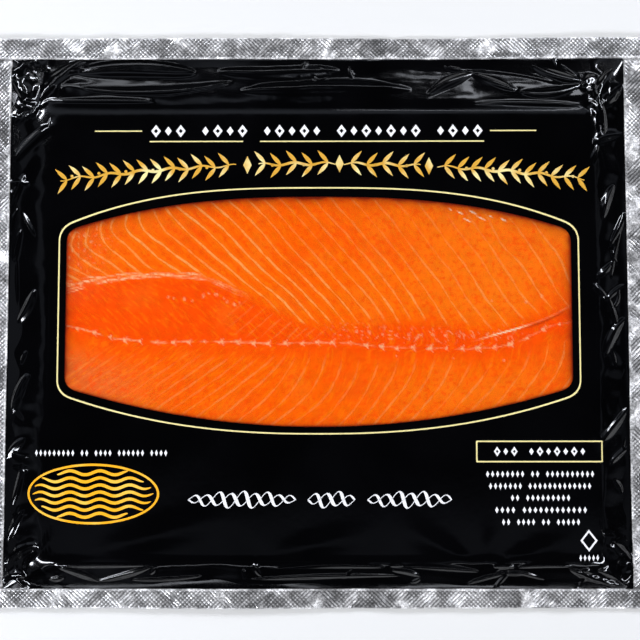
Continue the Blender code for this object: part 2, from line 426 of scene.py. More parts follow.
def folds_height(x, y, climb):
    """Height of all the pleats and crumples, which die out on the level face."""
    total = np.zeros_like(x)
    random = np.random.default_rng(23)
    for x0, y0, x1, y1, bow, half_width, share in PLEATS:
        start, end = np.array([x0, y0]) * MM, np.array([x1, y1]) * MM
        lean, power = random.uniform((-0.6, 2.0), (0.6, 4.0))
        leaf = pleat(x, y, start, end, bow * MM, half_width * MM, share, lean, power)
        total = np.maximum(total, leaf)
    for small in scattered_pleats(52, 11):
        total = np.maximum(total, pleat(x, y, *small))
    near = corner_nearness(x, y)
    near = near * (1 - 0.4 * smoothstep(40 * MM, 80 * MM, x) * smoothstep(20 * MM, 60 * MM, y))
    total += 0.45 * near * np.maximum(crumple(x, y, 7 * MM, 21), -0.2 * MM)
    total += (0.015 + 0.2 * near) * crumple(x, y, 4 * MM, 22)
    return total * (1 - smoothstep(1.0, 1.35, climb))


# Soft hollows that run in from the bottom seal: start, end, half width and height in millimetres
SOFT_SWELLS = (
    (58, -89, 30, -74, 4.0, 0.40),
    (58, -89, 61, -74, 3.5, 0.20),
    (58, -89, 90, -78, 3.5, 0.40),
    (-84, -84, -30, -70, 5.0, 0.40),
    (-20, -84, 20, -76, 4.0, 0.30),
)


def face_height(x, y):
    """Height of the film over the fish: nearly flat, with slow swells."""
    swell = 0.16 * noise(x, y, 62 * MM, 31) + 0.07 * noise(x, y, 27 * MM, 32)
    for x0, y0, x1, y1, half_width, height in SOFT_SWELLS:
        start, end = np.array([x0, y0]) * MM, np.array([x1, y1]) * MM
        run = end - start
        t = ((x - start[0]) * run[0] + (y - start[1]) * run[1]) / (run @ run)
        side = ((y - start[1]) * run[0] - (x - start[0]) * run[1]) / np.hypot(*run)
        spread = half_width * MM * (0.4 + 0.6 * np.clip(t, 0, 1.2))
        along = smoothstep(0, 0.5, t) * (1 - smoothstep(0.4, 1.15, t))
        swell += height * along * np.exp(-((side / spread) ** 2))
    return FACE_RISE + swell * MM


def film_height(x, y):
    """Height of the printed film anywhere: from the seal up the slope to the face over the fish."""
    climb = climb_at(x, y)
    low = border_height(x, y)
    across = np.sin(np.pi * np.clip(climb, 0, 1))
    soft = 0.35 * noise(x * 0.35, y, 8 * MM, 33) + 0.15 * noise(x, y, 11 * MM, 34)
    rise = (face_height(x, y) - low) * slope_rise(climb)
    return low + rise + soft * MM * across + folds_height(x, y, climb)


# ---------------------------------------------------------------- meshes


def grid_faces(rows, columns, wrap_rows=False, wrap_columns=False):
    """Quads of a grid whose points run row by row."""
    i = np.arange(rows if wrap_rows else rows - 1)[:, None]
    j = np.arange(columns if wrap_columns else columns - 1)[None, :]
    down, along = (i + 1) % rows, (j + 1) % columns
    corners = (i * columns + j, down * columns + j, down * columns + along, i * columns + along)
    return np.stack([np.broadcast_to(c, np.broadcast(i, j).shape) for c in corners], -1).reshape(-1, 4)


def make_piece(name, points, faces, material, replaced=()):
    """Puts points and faces into a mesh, and the piece on the pack's body.

    faces is a list of arrays, one for each number of corners.
    """
    mesh = bpy.data.meshes.new(name)
    points = np.asarray(points, np.float32).reshape(-1, 3)
    loops = np.concatenate([group.ravel() for group in faces]).astype(np.int32)
    sizes = np.concatenate([np.full(len(group), group.shape[1]) for group in faces])
    starts = np.concatenate([[0], np.cumsum(sizes)[:-1]]).astype(np.int32)
    mesh.vertices.add(len(points))
    mesh.vertices.foreach_set("co", points.ravel())
    mesh.loops.add(len(loops))
    mesh.loops.foreach_set("vertex_index", loops)
    mesh.polygons.add(len(sizes))
    mesh.polygons.foreach_set("loop_start", starts)
    mesh.update(calc_edges=True)
    mesh.validate()
    mesh.shade_smooth()
    mesh.set_sharp_from_angle(angle=math.radians(50))
    mesh.materials.append(material)
    piece = bpy.data.objects.new(name, mesh)
    bpy.context.scene.collection.objects.link(piece)
    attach(piece, BODY)
    for node in replaced:
        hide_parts(node)
    return piece


def add_attribute(piece, name, values):
    """Stores one number for each vertex under a name that materials can read."""
    made = piece.data.attributes.new(name, "FLOAT", "POINT")
    made.data.foreach_set("value", np.asarray(values, np.float32).ravel())


def add_colour_attribute(piece, name, colours):
    """Stores one linear colour for each vertex."""
    made = piece.data.attributes.new(name, "FLOAT_COLOR", "POINT")
    rgba = np.column_stack([colours.reshape(-1, 3), np.ones(colours.size // 3)])
    made.data.foreach_set("color", rgba.astype(np.float32).ravel())


def slab_faces(rows, columns):
    """Faces of a closed slab: an upper grid, a lower grid after it, and the rim between them.

    The upper grid's rows run towards -Y and its columns towards +X.
    """
    upper = grid_faces(rows, columns)
    count = rows * columns
    lower = upper[:, ::-1] + count
    rim = rim_loop(rows, columns)
    after = np.roll(rim, -1)
    wall = np.column_stack([rim, after, after + count, rim + count])
    return [np.vstack([upper, lower, wall])]


def rim_loop(rows, columns):
    """The outer points of a grid, once round, clockwise seen from above."""
    grid = np.arange(rows * columns).reshape(rows, columns)
    return np.concatenate([grid[0, :-1], grid[:-1, -1], grid[-1, :0:-1], grid[:0:-1, 0]])


# ---------------------------------------------------------------- materials

# Settings of the nodes that are used again and again
SMOOTH = {"interpolation_type": "SMOOTHSTEP"}
TIMES, PLUS, TIMES_PLUS = {"operation": "MULTIPLY"}, {"operation": "ADD"}, {"operation": "MULTIPLY_ADD"}
TINT = {"output": 2, "data_type": "RGBA", "blend_type": "MIX"}
SHADE = {"output": 2, "data_type": "RGBA", "blend_type": "MULTIPLY"}


def set_inputs(node, inputs):
    """Gives a node's sockets, by name or number, plain values or other nodes' outputs."""
    for key, value in inputs.items():
        if isinstance(value, bpy.types.NodeSocket):
            node.id_data.links.new(value, node.inputs[key])
        else:
            node.inputs[key].default_value = value


def add_node(tree, kind, inputs=None, output=0, **settings):
    """Adds a shader node with its settings and inputs, and returns one of its outputs."""
    node = tree.nodes.new("ShaderNode" + kind)
    for key, value in settings.items():
        setattr(node, key, value)
    set_inputs(node, inputs or {})
    return node.outputs[output]


def new_material(name, **inputs):
    """A new material, what adds nodes to it, and its Principled shader with some inputs set."""
    made = bpy.data.materials.new(name)
    made.use_nodes = True
    shader = made.node_tree.nodes["Principled BSDF"]
    set_inputs(shader, {key.replace("_", " "): value for key, value in inputs.items()})
    return made, partial(add_node, made.node_tree), shader


def clouds(node, size, low, high, start=0.0, end=1.0, detail=2.0):
    """Noise with features of a size in metres, its low..high brought to start..end."""
    place = node("TexCoord", output="Object")
    cloud = node("TexNoise", {"Vector": place, "Scale": 1.0 / size, "Detail": detail})
    return node("MapRange", {0: cloud, 1: low, 2: high, 3: start, 4: end}, **SMOOTH)


def fat_lines(node, line_width, part):
    """How much fat shows in the upper or lower part: its thin lines, and a glow round them.

    A line runs where the phase is a whole number; the distance to it is the phase's distance to that
    number times the local spacing.  Each line has its own strength, which also wanders along it.
    """
    phase = node("Attribute", output="Fac", attribute_name=part + "_phase")
    gap = node("Attribute", output="Fac", attribute_name=part + "_gap")
    strength = node("Attribute", output="Fac", attribute_name=part + "_strength")
    nearest = node("Math", {0: phase}, operation="ROUND")
    offset = node("Math", {0: phase, 1: nearest}, operation="SUBTRACT")
    offset = node("Math", {0: offset}, operation="ABSOLUTE")
    distance = node("Math", {0: offset, 1: gap}, **TIMES)
    own = node("TexWhiteNoise", {"W": nearest}, noise_dimensions="1D")
    own = node("MapRange", {0: own, 3: 0.6}, **SMOOTH)
    strength = node("Math", {0: strength, 1: own}, **TIMES)
    wander = clouds(node, 5 * MM, 0.32, 0.6, 0.45, 1.0, 3.0)
    width = node("Math", {0: wander, 1: line_width}, **TIMES)
    share = node("Math", {0: distance, 1: width}, operation="DIVIDE")
    core = node("MapRange", {0: share, 1: 0.3, 2: 1.0, 3: 1.0, 4: 0.0}, **SMOOTH)
    for factor in (wander, clouds(node, 1.2 * MM, 0.32, 0.55, 0.6, 1.0), strength):
        core = node("Math", {0: core, 1: factor}, **TIMES)
    glow = node("MapRange", {0: distance, 1: 0.2 * MM, 2: 2.0 * MM, 3: 0.6, 4: 0.0}, **SMOOTH)
    return core, node("Math", {0: glow, 1: strength}, **TIMES)


def muscle_fibres(node):
    """Fine muscle fibres: noise drawn out along the sheets of fat.

    Its coordinates are the phase that runs across the sheets, and a little of the place.
    """
    upper = node("Attribute", output="Fac", attribute_name="upper_phase")
    lower = node("Attribute", output="Fac", attribute_name="lower_phase")
    side = node("Attribute", output="Fac", attribute_name="side")
    across = node("Mix", {0: side, 2: lower, 3: upper}, data_type="FLOAT")
    across = node("Math", {0: across, 1: 4.0}, **TIMES)
    along = node("SeparateXYZ", {0: node("TexCoord", output="Object")}, output="X")
    along = node("Math", {0: along, 1: 1 / (3.5 * MM)}, **TIMES)
    place = node("CombineXYZ", {0: across, 1: along})
    return node("TexNoise", {"Vector": place, "Scale": 1.0, "Detail": 2.0})


def salmon_material(settings):
    """Cold-smoked salmon, sliced: moist lean flesh with thin sheets of paler fat across it.

    Fibres and grain turn the flesh redder or yellower and leave it as bright.
    """
    made, node, shader = new_material(
        "cold smoked salmon flesh", Roughness=0.55, Specular_IOR_Level=0.03
    )
    flesh = node("Attribute", output="Color", attribute_name="flesh")
    fibre = node("MapRange", {0: muscle_fibres(node), 1: 0.45, 2: 0.75, 4: 0.55}, **SMOOTH)
    flesh = node("Mix", {0: fibre, 6: flesh, 7: hex_colour("ff8204")}, **TINT)
    grain = clouds(node, 1.4 * MM, 0.45, 0.72, 0.0, 0.6, 3.0)
    flesh = node("Mix", {0: grain, 6: flesh, 7: tuple(settings.red_flesh)}, **TINT)
    upper, upper_glow = fat_lines(node, settings.line_width, "upper")
    lower, lower_glow = fat_lines(node, settings.line_width, "lower")
    glow = node("Math", {0: upper_glow, 1: lower_glow}, **PLUS)
    flesh = node("Mix", {0: glow, 6: flesh, 7: hex_colour("ff7c0a")}, **TINT)
    lines = node("Math", {0: upper, 1: lower}, use_clamp=True, **PLUS)
    flesh = node("Mix", {0: lines, 6: flesh, 7: tuple(settings.fat)}, **TINT)
    # Marks carry pale sinew and flecks; above 1 they are painted highlights, glints mixed towards pale cream
    marks = node("Attribute", output="Fac", attribute_name="marks")
    sinew = node("Math", {0: marks, 1: clouds(node, 0.9 * MM, 0.35, 0.55, 0.5, 1.0)}, **TIMES)
    flesh = node("Mix", {0: sinew, 6: flesh, 7: tuple(settings.marks)}, **TINT)
    painted_glint = node("MapRange", {0: marks, 1: 1.0, 2: 1.8}, **SMOOTH)
    flesh = node("Mix", {0: painted_glint, 6: flesh, 7: hex_colour("ffe0c0")}, **TINT)
    uneven = clouds(node, 4 * MM, 0.3, 0.7, 0.96, 1.05, 3.0)
    flesh = node("Mix", {0: 1.0, 6: flesh, 7: uneven}, **SHADE)
    shadow = node("Attribute", output="Fac", attribute_name="shadow")
    flesh = node("Mix", {0: shadow, 6: flesh, 7: tuple(settings.edge)}, **TINT)
    height = node("Math", {0: lines, 1: 0.5, 2: grain}, **TIMES_PLUS)
    normal = node("Bump", {"Height": height, "Distance": 0.05 * MM, "Strength": 0.3})
    set_inputs(shader, {"Base Color": flesh, "Normal": normal})
    return made


def printed_film_material(settings):
    """Reverse-printed laminate: black ink under glossy polymer film, finely crinkled."""
    made, node, shader = new_material("black printed pouch film", Specular_IOR_Level=0.5)
    cloud = clouds(node, 30 * MM, 0.3, 0.7, 0.7, 1.3)
    ink = node("Mix", {0: 1.0, 6: tuple(settings.ink), 7: cloud}, **SHADE)
    haze = clouds(node, 14 * MM, 0.3, 0.7, 0.05, 0.11, 3.0)
    crinkle = clouds(node, 2.6 * MM, 0.2, 0.8)
    normal = node("Bump", {"Height": crinkle, "Distance": 0.05 * MM, "Strength": 0.08})
    set_inputs(shader, {"Base Color": ink, "Roughness": haze, "Normal": normal})
    return made


def window_film_material():
    """Clear laminate pressed on the fish by the vacuum: only its surface reflections show.

    A white mirror with the low alpha of a film's reflectance lets the rest of the light through.
    """
    made, node, shader = new_material(
        "clear pouch film", Base_Color=(1, 1, 1, 1), Metallic=1.0, Roughness=0.12, Alpha=0.07
    )
    ripple = clouds(node, 5 * MM, 0.2, 0.8)
    normal = node("Bump", {"Height": ripple, "Distance": 0.1 * MM, "Strength": 0.2})
    set_inputs(shader, {"Normal": normal})
    return made


def seal_material(settings):
    """Heat-sealed laminate: two clear films fused and knurled, so they scatter light like silver.

    The knurl's tips are painted light, some nearly white, as painted glints; its grooves are painted
    darker, as painted shade.
    """
    made, node, shader = new_material("knurled heat seal", Metallic=0.35)
    tone = clouds(node, 16 * MM, 0.36, 0.64, 0.4, 0.78, 3.0)
    # Patches of painted sheen, where the film buckles, brighten the tone
    painted_sheen = node("Attribute", output="Fac", attribute_name="painted_sheen")
    tone = node("Math", {0: painted_sheen, 1: 0.5, 2: tone}, **TIMES_PLUS)
    # Painted light: glints on the knurl's tips and along the edge lines, and painted shade in the grooves
    painted_knurl_light = node("Attribute", output="Fac", attribute_name="painted_knurl_light")
    tip = node("MapRange", {0: painted_knurl_light, 2: 0.8, 3: 0.3}, **SMOOTH)
    bright = node("MapRange", {0: painted_knurl_light, 1: 0.55}, **SMOOTH)
    bright = node("Math", {0: bright, 1: clouds(node, 2.2 * MM, 0.4, 0.62)}, **TIMES)
    tip = node("Math", {0: bright, 1: 0.9, 2: tip}, **TIMES_PLUS)
    shade = node("Math", {0: tone, 1: tip}, **TIMES)
    shade = node("Math", {0: shade, 1: clouds(node, 0.6 * MM, 0.35, 0.65, 0.65, 1.3)}, **TIMES)
    colour = node("Mix", {0: 1.0, 6: tuple(settings.seal), 7: shade}, **SHADE)
    patch = clouds(node, 9 * MM, 0.35, 0.65, 0.18, 0.34, 3.0)
    set_inputs(shader, {"Base Color": colour, "Roughness": patch})
    return made


def ink_material(name, colour, roughness):
    """Opaque ink under the film's gloss, a little uneven where the press laid it thin."""
    made, node, shader = new_material(name, Roughness=roughness, Specular_IOR_Level=0.35)
    speck = clouds(node, 0.8 * MM, 0.3, 0.7, 0.9, 1.05)
    ink = node("Mix", {0: 1.0, 6: tuple(colour), 7: speck}, **SHADE)
    set_inputs(shader, {"Base Color": ink})
    return made


def shaded_gold_material(name, light, deep):
    """Yellow-gold ink, shaded from a light to a deep tone as a foil would be."""
    made, node, shader = new_material(name, Roughness=0.3, Specular_IOR_Level=0.4)
    share = clouds(node, 9 * MM, 0.32, 0.56)
    gold = node("Mix", {0: share, 6: tuple(light), 7: tuple(deep)}, **TINT)
    set_inputs(shader, {"Base Color": gold})
    return made


# ---------------------------------------------------------------- fish

# Where the sheets of fat run: number of the sheet, and its x at each height, in millimetres
UPPER_HEIGHTS = (-8, 0, 7, 13, 19, 25, 31, 37, 43)
UPPER_SHEETS = {
    -9: (-89, -98, -107, -115, -125, -129, -127, -125, -124),
    -3: (-53, -62, -71, -79, -89, -93, -91, -89, -88),
    -1: (-38, -48, -57, -65.5, -73.8, -81.8, -82, -80, -78.5),
    1: (-24, -34, -43, -52, -61.1, -67.6, -73.5, -72, -70.5),
    3: (-12, -22, -30, -38, -46.2, -54, -62, -64, -63),
    6: (1, -7, -14, -21, -27, -33.3, -39.8, -47, -54),
    10: (19, 13, 7.5, 1.8, -4.0, -9.4, -14.6, -20.2, -26),
    15: (42, 37.6, 33.8, 29.6, 25, 20, 14.8, 9.6, 4.5),
    21: (86, 79, 72.8, 69.2, 65.4, 61.6, 57.5, 53.4, 49),
    22: (93, 86, 79.6, 76.2, 72.4, 66.6, 63, 60, 56),
    23: (99, 92, 86.5, 83, 79.5, 75.8, 71.6, 67, 63),
    25: (110, 105, 100, 97, 94, 91, 86.5, 81.5, 76),
}
LOWER_HEIGHTS = (-40, -34, -28, -22, -16, -10)
LOWER_SHEETS = {
    -6: (-123, -114, -105, -96, -87, -78),
    0: (-87, -77.5, -68, -59, -50, -42),
    6: (-49, -40.6, -32.6, -24.6, -17.2, -12),
    8.4: (-28, -20.8, -14.2, -9.4, -6.4, -5),
    10.9: (-13, -4.5, 2.4, 6.2, 7.3, 7.5),
    12.8: (5, 10.5, 15, 18.3, 20.3, 21),
    19.4: (44, 50, 55.5, 60.3, 64, 66),
    23: (66, 73, 78.8, 83.4, 86.5, 88),
    25: (79, 86, 91, 95, 97.6, 99),
}
SEAM_POINTS = (
    (-92, -2.5), (-82, -4.8), (-72, -7.6), (-61, -8.8), (-37, -8.8), (-15, -9.5), (8, -9.3),
    (24, -10.8), (40, -11.2), (58, -11.2), (70, -9.4), (80, -4.6), (92, -1.5),
)
BELLY_POINTS = (
    (-92, 10), (-77, 13.3), (-65, 14.6), (-53, 15), (-39, 13.5), (-27, 8.3), (-16, 3), (-7, -1.5),
    (4, -3), (16, -2.2), (38, -2.2), (50, -3.6), (62, -4.8), (73, -1.8), (92, 4.4),
)
# Flecks of fat in the red flesh: place and size
FLECKS = (
    (-87, 10.4, 0.7), (-84, 11.8, 0.8), (-79, 12.9, 0.5), (-73.3, 12.6, 0.6), (-70.8, 13.8, 0.6),
    (-53, 7, 0.6), (-51, 6.6, 0.4), (-47, 6.3, 0.7), (-44.5, 5.6, 0.4), (-40.5, 7.6, 0.7),
    (-38.6, 8.2, 0.5), (-36, 8, 0.8), (-33, 6.6, 0.5), (-32, 5.2, 0.6), (-29.5, 4.4, 0.8), (-27.6, 5.0, 0.6),
    (62, 5.6, 0.5), (74, 5.2, 0.7), (79.6, 7.2, 0.6), (66, -15.5, 0.5), (48, -14.8, 0.4), (28, -14, 0.4),
)
# Short glints painted into the flesh near the top edge, as painted highlights
PAINTED_GLINTS = ((47.5, 38.4), (51, 37.2), (55.5, 37.4), (58.5, 35.2), (62, 35.8), (66.5, 34.6), (53.5, 34.5))
CREASE_POINTS = ((52, -10), (64, -6.5), (73, -3.9), (82, -0.6), (92, 4.6))


def sheet_phase(x, y, sheets, heights):
    """A field that is n on guide sheet n and runs evenly between neighbouring guides.

    Each guide's x is a smooth function of the height y.  The phase is the first guide's number plus,
    for each gap between guides, that gap's step times how far across the gap the point is.
    """
    numbers = sorted(sheets)
    at = [curve_through(np.column_stack([heights, sheets[n]]))(y) for n in numbers]
    phase = np.full(x.shape, float(numbers[0]))
    for k in range(len(numbers) - 1):
        across = (x - at[k]) / (at[k + 1] - at[k])
        phase += (numbers[k + 1] - numbers[k]) * np.clip(across, 0, 1)
    return phase


def spacing_of(phase, x, y):
    """Local distance between lines: one over the length of the phase's gradient."""
    by_row, by_column = np.gradient(phase)
    dx = by_column / np.gradient(x, axis=1)
    dy = by_row / np.gradient(y, axis=0)
    return 1.0 / np.maximum(np.hypot(dx, dy), 1e-6)


def spaced_lines(stops):
    """Grid lines from a list of (end, spacing), the first with no spacing."""
    values = [np.array([stops[0][0]])]
    for (start, _), (end, spacing) in zip(stops, stops[1:]):
        count = max(1, int(round((end - start) / spacing)))
        values.append(np.linspace(start, end, count + 1)[1:])
    return np.concatenate(values)


def seam_marks(x, y, seam, offset, pitch, size, seed, strength, thread_share):
    """Small pale arrowheads of sinew in a row along a line, with a broken thread between them.

    In each cell of the row the mark is where the distance to a point, plus the distance to a chevron
    through it, is small.  Noise makes them unlike each other.
    """
    jitter = 0.22 * noise(x, 0 * x, 4 * pitch, seed)
    cell = x / pitch + jitter
    index = np.round(cell)
    along = (cell - index) * pitch
    across = y - seam(x) - offset - 0.35 * MM * noise(index * pitch, 0 * x, 0.37 * pitch, seed + 1)
    grow = 0.75 + 0.5 * noise(index * pitch, 0 * x, 0.61 * pitch, seed + 2)
    ragged = 1 + 0.5 * noise(x, y, 0.8 * MM, seed + 3)
    blob = np.hypot(along, 1.2 * across) * ragged / (size * grow)
    chevron = np.abs(along - 0.8 * np.abs(across)) / (0.25 * size)
    reach = np.hypot(along, across) / (2.3 * size * grow)
    arms = (1 - smoothstep(0.6, 1.4, chevron)) * (1 - smoothstep(0.5, 1.0, reach))
    own = y - seam(x) - offset + 0.3 * MM * noise(x, y, 5 * MM, seed + 4)
    thread = 1 - smoothstep(0.14 * MM, 0.42 * MM, np.abs(own))
    thread *= smoothstep(-0.45, 0.2, noise(x, y, 4.5 * MM, seed + 5))
    core = 1 - smoothstep(0.5, 1.2, blob)
    return strength * np.maximum(np.maximum(core, 0.8 * arms), thread_share * thread)


def fibre_lines(x, y, curve, spread, count, seed):
    """Fine strands that run together along a curve, each wandering a little and breaking up."""
    total = np.zeros_like(x)
    for k in range(count):
        wander = spread * (k / max(1, count - 1) - 0.5) + 0.7 * MM * noise(x, 0 * x, 13 * MM, seed + k)
        wander = wander + 0.2 * MM * noise(x, 0 * x, 3 * MM, seed + 20 + k)
        line = 1 - smoothstep(0.08 * MM, 0.34 * MM, np.abs(y - curve(x) - wander))
        line *= 0.75 + 0.45 * noise(x, y, 1.7 * MM, seed + 60 + k)
        total = np.maximum(total, line * smoothstep(-0.5, 0.2, noise(x, y, 6 * MM, seed + 40 + k)))
    return total


def mixed(base, colour, share):
    """Blends an array of linear colours towards one colour."""
    return base + (np.array(colour[:3]) - base) * share[..., None]


def flesh_colours(x, y, seam, belly, settings):
    """The flesh without its lines: redder round the middle line, paler towards the edges."""
    colour = np.zeros(x.shape + (3,)) + np.array(settings.flesh[:3])
    from_seam = y - seam(x)
    from_belly = y - belly(x)
    upper = smoothstep(-1 * MM, 8 * MM, from_belly)
    lower = smoothstep(3 * MM, 16 * MM, -from_seam)
    to_right = smoothstep(-10 * MM, 70 * MM, x)
    at_left = 1 - smoothstep(-85 * MM, -45 * MM, x)
    colour = mixed(colour, settings.pale_flesh, upper * np.maximum(to_right, 0.5 * at_left))
    colour = mixed(colour, settings.pale_flesh, 0.7 * lower * smoothstep(0, 60 * MM, x))
    colour = mixed(colour, hex_colour("ee6c2c"), lower * at_left)
    between = smoothstep(-4 * MM, 1 * MM, from_seam) * (1 - smoothstep(-3 * MM, 1 * MM, from_belly))
    near_seam = np.exp(-((from_seam / (4.5 * MM)) ** 2))
    colour = mixed(colour, settings.red_flesh, np.maximum(0.85 * between, 0.8 * near_seam))
    patches = smoothstep(0.0, 0.7, noise(x, y, 13 * MM, 52))
    colour = mixed(colour, hex_colour("fc7c18"), 0.3 * patches * (1 - near_seam))
    far_left = 1 - smoothstep(-88 * MM, -68 * MM, x)
    colour = mixed(colour, hex_colour("ee5420"), 0.6 * far_left * smoothstep(0, 12 * MM, y))
    far_right = smoothstep(66 * MM, 90 * MM, x) * (1 - smoothstep(6 * MM, 30 * MM, y))
    colour = mixed(colour, settings.red_flesh, 0.5 * far_right)
    deep = smoothstep(0.1, 0.8, noise(x, y, 17 * MM, 53))
    return mixed(colour, hex_colour("f7500a"), 0.35 * deep)


def build_fish(settings):
    """The slab of fish: a closed body with a crowned, finely gridded top."""
    left, right, bottom, top = FISH_BOX
    fine, edge, coarse = 0.46 * MM, 0.7 * MM, 2.2 * MM
    w_left, w_right, w_bottom, w_top = grown(WINDOW_BOX, 1.2 * MM)
    xs = spaced_lines(((left, 0), (w_left, edge), (w_right, fine), (right, edge)))
    side = 3 * MM
    ys = spaced_lines(
        ((bottom, 0), (bottom + side, edge), (w_bottom, coarse), (w_top, fine), (top - side, coarse), (top, edge))
    )
    x, y = np.meshgrid(xs, ys[::-1])
    rim = np.minimum(np.minimum(x - left, right - x), np.minimum(y - bottom, top - y))
    seam, belly, crease = (curve_through(p) for p in (SEAM_POINTS, BELLY_POINTS, CREASE_POINTS))

    wobble = 0.10 * noise(x, y, 14 * MM, 41) + 0.035 * noise(x, y, 4 * MM, 42)
    upper = sheet_phase(x, y, UPPER_SHEETS, UPPER_HEIGHTS) + wobble
    leaning = x - 1.1 * np.maximum(y + 9 * MM, 0)
    lower = sheet_phase(leaning, y, LOWER_SHEETS, LOWER_HEIGHTS) + wobble
    upper_gap, lower_gap = spacing_of(upper, x, y), spacing_of(lower, x, y)

    ragged = 1.2 * MM * noise(x, y, 4 * MM, 43)
    above = y - belly(x) + ragged
    upper_strength = smoothstep(-0.5 * MM, 2.5 * MM, above)
    upper_strength *= 1 - 0.4 * smoothstep(-10 * MM, 50 * MM, x)
    far_up = smoothstep(8 * MM, 30 * MM, above) * smoothstep(-34 * MM, -6 * MM, x)
    upper_strength *= 1 - 0.6 * far_up * (1 - 0.6 * smoothstep(40 * MM, 70 * MM, x))
    below = seam(x) - y + 2 * ragged
    lower_strength = 0.36 * smoothstep(3 * MM, 10 * MM, below)
    lower_strength *= 1 - 0.35 * (1 - smoothstep(-70 * MM, -30 * MM, x))
    lower_strength *= 1 + 0.9 * smoothstep(70 * MM, 84 * MM, x)
    herring = smoothstep(1 * MM, 3 * MM, -below) * smoothstep(0, 3 * MM, -above)
    herring *= smoothstep(-40 * MM, -15 * MM, x) * (1 - smoothstep(4 * MM, 14 * MM, x))
    lower_strength = np.maximum(lower_strength, 0.26 * herring)

    to_right = smoothstep(0, 12 * MM, x)
    marks = seam_marks(x, y, seam, 0.0, 5.7 * MM, 1.0 * MM, 61, 0.95, 0.7 - 0.35 * to_right)
    row = seam_marks(x, y, seam, 4.6 * MM, 4.6 * MM, 0.7 * MM, 71, 0.55, 0.0)
    from_seam = y - seam(x)
    across = smoothstep(1 * MM, 2.5 * MM, from_seam) * (1 - smoothstep(5.5 * MM, 8.5 * MM, from_seam))
    curls = 1 - smoothstep(0.04, 0.16, np.abs(noise(x, y, 2.6 * MM, 75)))
    curls *= smoothstep(-0.1, 0.3, noise(x, y, 2.2 * MM, 79))
    row = np.maximum(row, 0.55 * curls * across)
    marks = np.maximum(marks, row * to_right * (1 - smoothstep(66 * MM, 78 * MM, x)))
    spread = 1.6 * MM + 2.2 * MM * (1 - smoothstep(-90 * MM, -70 * MM, x))
    fibres = fibre_lines(x, y, belly, spread, 5, 81)
    # Pale strands of fat, their own colour, and where their strength passes 1 also painted cream highlights
    marks = np.maximum(marks, 1.35 * fibres * (1 - smoothstep(-46 * MM, -22 * MM, x)))
    for fleck_x, fleck_y, size in FLECKS:
        away = np.hypot(x - fleck_x * MM, y - fleck_y * MM) * (1 + 0.6 * noise(x, y, 0.9 * MM, 46))
        marks = np.maximum(marks, 0.6 * (1 - smoothstep(0.4, 1.0, away / (size * MM))))
    near_corner = 1 - smoothstep(4 * MM, 24 * MM, np.hypot(x - w_left, y - 30 * MM))
    specks = smoothstep(0.4, 0.7, noise(x, y, 1.1 * MM, 47))
    marks = np.maximum(marks, 0.6 * near_corner * specks)
    crease_side = y - crease(x)
    # Painted highlight along the crease's upper side, stored as marks above 1
    glint = 1 - smoothstep(0.12 * MM, 0.42 * MM, np.abs(crease_side - 0.3 * MM))
    glint *= 1.9 * smoothstep(54 * MM, 66 * MM, x) * (1 - 0.85 * smoothstep(71 * MM, 77 * MM, x))
    marks = np.maximum(marks, glint)
    # Painted highlights: each glint is a pale slanted dash, stored as marks above 1
    for k, (glint_x, glint_y) in enumerate(PAINTED_GLINTS):
        along = ((x - glint_x * MM) * 0.9 - (y - glint_y * MM) * 0.44) / ((0.8 + 0.5 * (k % 4)) * MM)
        across = ((x - glint_x * MM) * 0.44 + (y - glint_y * MM) * 0.9) / ((0.28 + 0.07 * (k % 3)) * MM)
        marks = np.maximum(marks, 1.7 * (1 - smoothstep(0.5, 1.1, np.hypot(along, across))))

    top_edge, bottom_edge = window_edge(x)
    from_side = np.minimum(x - WINDOW_BOX[0], WINDOW_BOX[1] - x)
    inside = np.minimum(np.minimum(0.8 * (top_edge - y), 2.0 * (y - bottom_edge)), from_side)
    wavering = np.maximum(inside + 0.4 * MM * noise(x, y, 5 * MM, 44), 0)
    shadow = 0.95 * np.exp(-wavering / (0.95 * MM)) + 0.28 * np.exp(-wavering / (3.2 * MM))
    shadow = np.minimum(shadow, 0.97)
    shadow = np.maximum(shadow, 0.2 * near_corner * smoothstep(-0.2, 0.6, noise(x, y, 4 * MM, 45)))
    # Painted shade in the crease's fold, stored with the window edge's painted shade
    fold = np.exp(-(((crease_side + 0.5 * MM) / (0.4 * MM)) ** 2))
    fold *= 0.55 * smoothstep(71 * MM, 78 * MM, x)
    shadow = np.maximum(shadow, fold)

    groove = 0.12 * MM * np.exp(-(((y - seam(x)) / (1.6 * MM)) ** 2))
    line_relief = 0.03 * MM * np.cos(2 * np.pi * upper) * upper_strength
    fall = 2.6 * MM
    rounding = fall - np.sqrt(np.maximum(fall**2 - np.maximum(fall - rim, 0) ** 2, 0))
    height = face_height(x, y) - FLESH_DEPTH - groove + line_relief - rounding
    bevel = 1 - 0.02 * ((2 * (x - left) / (right - left) - 1) * (2 * (y - bottom) / (top - bottom) - 1)) ** 12
    upper_points = np.stack([x * bevel, y * bevel, height], -1).reshape(-1, 3)

